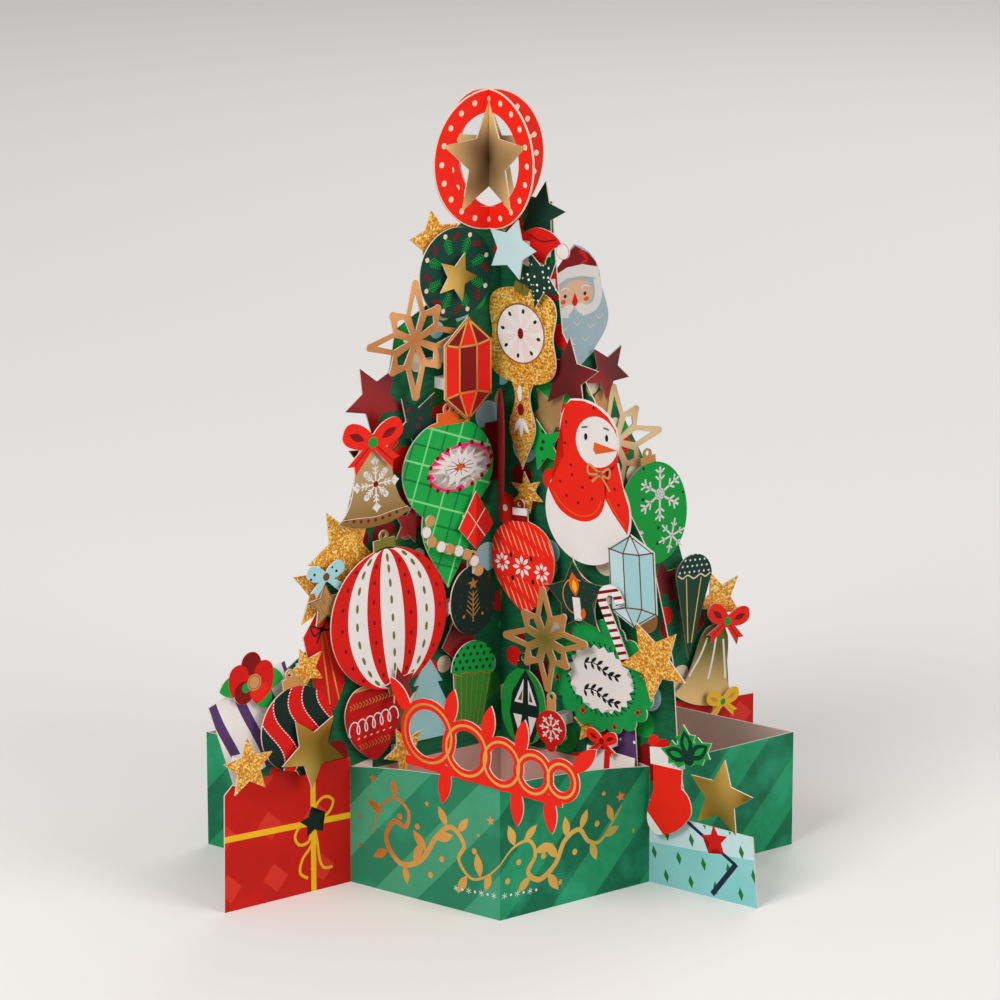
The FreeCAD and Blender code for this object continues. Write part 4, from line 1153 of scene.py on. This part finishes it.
d = Drawing("candle_star")
halo = [math.radians(a) for a in range(60, 290, 10)]
d.ink("gold", stroke([(-0.2 + 4.8 * math.cos(a), 0.4 + 5.4 * math.sin(a)) for a in halo], 0.4, soft=False))
d.ink("white", [[(-1.5, -7), (1.3, -7), (1.3, 0), (-1.5, 0.2)]])
d.ink("orange", leaf(-0.1, 0.4, 7.4, 3.8, 4), leaf(1.6, -6.8, 3.8, 2, -12))
d.ink("yellow", leaf(-0.1, 1.4, 4.2, 1.9, 4))
d.ink("olive", outline(burst(0, 0, 11.34, 5, 0.56)[0], 0.25))

# %% Cap, holly, cone, scroll
d = Drawing("red_cap")
d.ink("white", stroke([(-9.2, -3.7), (2.2, -6.9)], 2.9), oval(8.6, -0.6, 2.25))
d.ink("dark red", stroke([(-4, 3.2), (0.6, 1.6), (6, 2.6)], 0.5))

d = Drawing("holly_sprig")
for turn in (12, 82, -52):
    d.ink("dark green", leaf(0, 0, 8.8, 4.6, turn))
    d.ink("green", leaf(*away(turn, 2.4), 4.8, 1.8, turn))
d.ink("dark green", oval(0, 0, 2))

d = Drawing("dotted_cone")
d.ink("cream", pen(0.5, [(-6.8, 0.2), (-4.8, -0.9), (-2.6, 0), (0, -1.2), (2.6, 0), (4.8, -0.9),
                         (6.8, 0.2)]))
d.ink("gold", pen(0.4, [(-3.2, -1), (-0.8, -22)], [(3, -1), (0.6, -22)]))

d = Drawing("scroll_plaque")
for x, y, size in ((-25, 1.5, 8.9), (-10.3, 0, 7.6), (3, -0.6, 6.6), (14.8, -0.6, 5.8), (25.2, 0.2, 5)):
    d.ink("gold", outline(oval(x, y, size, count=36)[0], 0.8))

# %% [markdown]
# ## Ribbons on the presents and the foil garland
# The strings and bows on the two big presents are pen lines on the tree sheets. The front wall carries
# a garland in gold foil, drawn on both halves of the folded wall so that it meets at the fold.

# %% Presents on the wings
d = Drawing(axis_sheet("tree_sheet_a", "a"), "_left")
knot = (-71.8, 21.6)
d.ink("yellow", pen(0.9, [knot, (-70.6, 26.6), (-67.4, 28.6), (-64.4, 26.8), (-66.4, 23.2), knot],
                    [knot, (-76, 21.6), (-78.6, 18.4), (-77, 15.4), (-73.6, 15.8), (-72.6, 19.4), knot],
                    [knot, (-72.4, 15), (-76, 10.6), (-76.8, 6.6), (-74, 4.4)],
                    [knot, (-70.4, 15), (-69.6, 9.6), (-68, 6.6), (-64.8, 6.2)]))
d.ink("black green", burst(*knot, 5, 5, 0.5, 8))

d = Drawing(axis_sheet("tree_sheet_b", "b"), "_right")
d.ink("navy", stroke([(71.6, 21.9), (89.9, 11.8)], 1.1), stroke([(90.2, 12.2), (81.5, 1)], 1.7))
d.ink("red", burst(82.3, 17.8, 4.9, turn=8))

# %% Foil garland on the front wall
FOLD = half_depth / MM * math.sin(math.radians(TURN))       # from the axis to the fold, along a face


def garland(face, fold, label, vine, leaves, berries, stars, flakes):
    """One half of the garland; `flakes` are the small white stars and dots below it."""
    d = Drawing(axis_sheet("wall_front", face, fold), label)
    d.ink("gold", stroke(vine, 1.7, taper=True))
    for x, y, size, turn in leaves:
        d.ink("gold", leaf(x, y, size * 1.2, size * 0.5, turn))
    for x, y in berries:
        d.ink("gold", oval(x, y, 0.95))
    for x, y, size in stars:
        d.ink("gold", burst(x, y, size, 5, 0.45, 10))
    for i, (x, y) in enumerate(flakes):
        d.ink("white", oval(x, y, 0.42) if i % 2 else flake(x, y, 1, 6, 0.22, 0, ()))


garland("b", FOLD, "_left",
        vine=[(-49, 17), (-46, 25.6), (-40, 29.6), (-35, 26.6), (-36, 21.6), (-40.6, 22.4),
              (-43.6, 16), (-38, 9.8), (-30, 12.6), (-24, 21), (-18.4, 25), (-13.6, 20.6),
              (-15.6, 15.6), (-11, 10.8), (-5, 12.6), (0, 17)],
        leaves=((-45, 24, 5.6, 62), (-40, 29.6, 5, 8), (-33, 11.4, 6.2, -28),
                (-28, 15.6, 6.4, 42), (-24.4, 20.2, 6, -70), (-20, 24.8, 5.6, 30),
                (-16, 24, 5.4, -40), (-12.4, 11.4, 6, 150), (-7.4, 11.6, 6.4, 10),
                (-43, 13, 5.4, 120), (-3.4, 14, 5.4, 160), (-36.4, 9.9, 5.2, 190)),
        berries=((-38.2, 24.4), (-31.4, 22.6), (-22, 14.4), (-9.6, 19.4), (-26.4, 8.6)),
        stars=((-48.6, 34.2, 1.5), (-54.2, 21.4, 0.8), (-53.9, 12.2, 0.8), (-27.6, 30.4, 1.1),
               (-3.4, 30, 1.6), (-8, 24.6, 0.7)),
        flakes=[(-16.5 + 2.4 * i, 6.6 + 0.12 * i) for i in range(7)])
garland("a", -FOLD, "_right",
        vine=[(0, 17), (5, 21.4), (11, 22.4), (13.4, 17.6), (10.6, 12.8), (15, 9.6), (21, 13.2),
              (24.6, 19.6), (30, 22), (33.6, 17.8), (38, 16.6), (42, 20.4), (46.6, 26)],
        leaves=((5.6, 21.8, 6, 20), (9, 22.6, 5.4, -50), (13, 18.6, 6.2, -84), (11.6, 11.4, 5.4, 130),
                (18, 11, 6.2, 215), (22, 14.8, 6, 40), (25.6, 20.2, 5.8, 8), (30.6, 21.8, 5.4, -24),
                (34.6, 17.4, 5.6, 200), (39.6, 17.8, 5.4, -70), (43.2, 21.8, 5.2, 20)),
        berries=((16.4, 16.6), (2.8, 11.6), (28.4, 15.4), (37, 22.4), (7, 16.6)),
        stars=((46.1, 29, 1.8), (39.5, 31.2, 0.9), (51.2, 17.4, 0.8), (22.8, 7.2, 1), (18, 30, 0.8)),
        flakes=[(1.6 + 2.4 * i, 7.3 - 0.12 * i) for i in range(6)])

# %% Make the drawings
print("drawings:", len(drawings), "faces:", sum(drawing.make() for drawing in drawings))
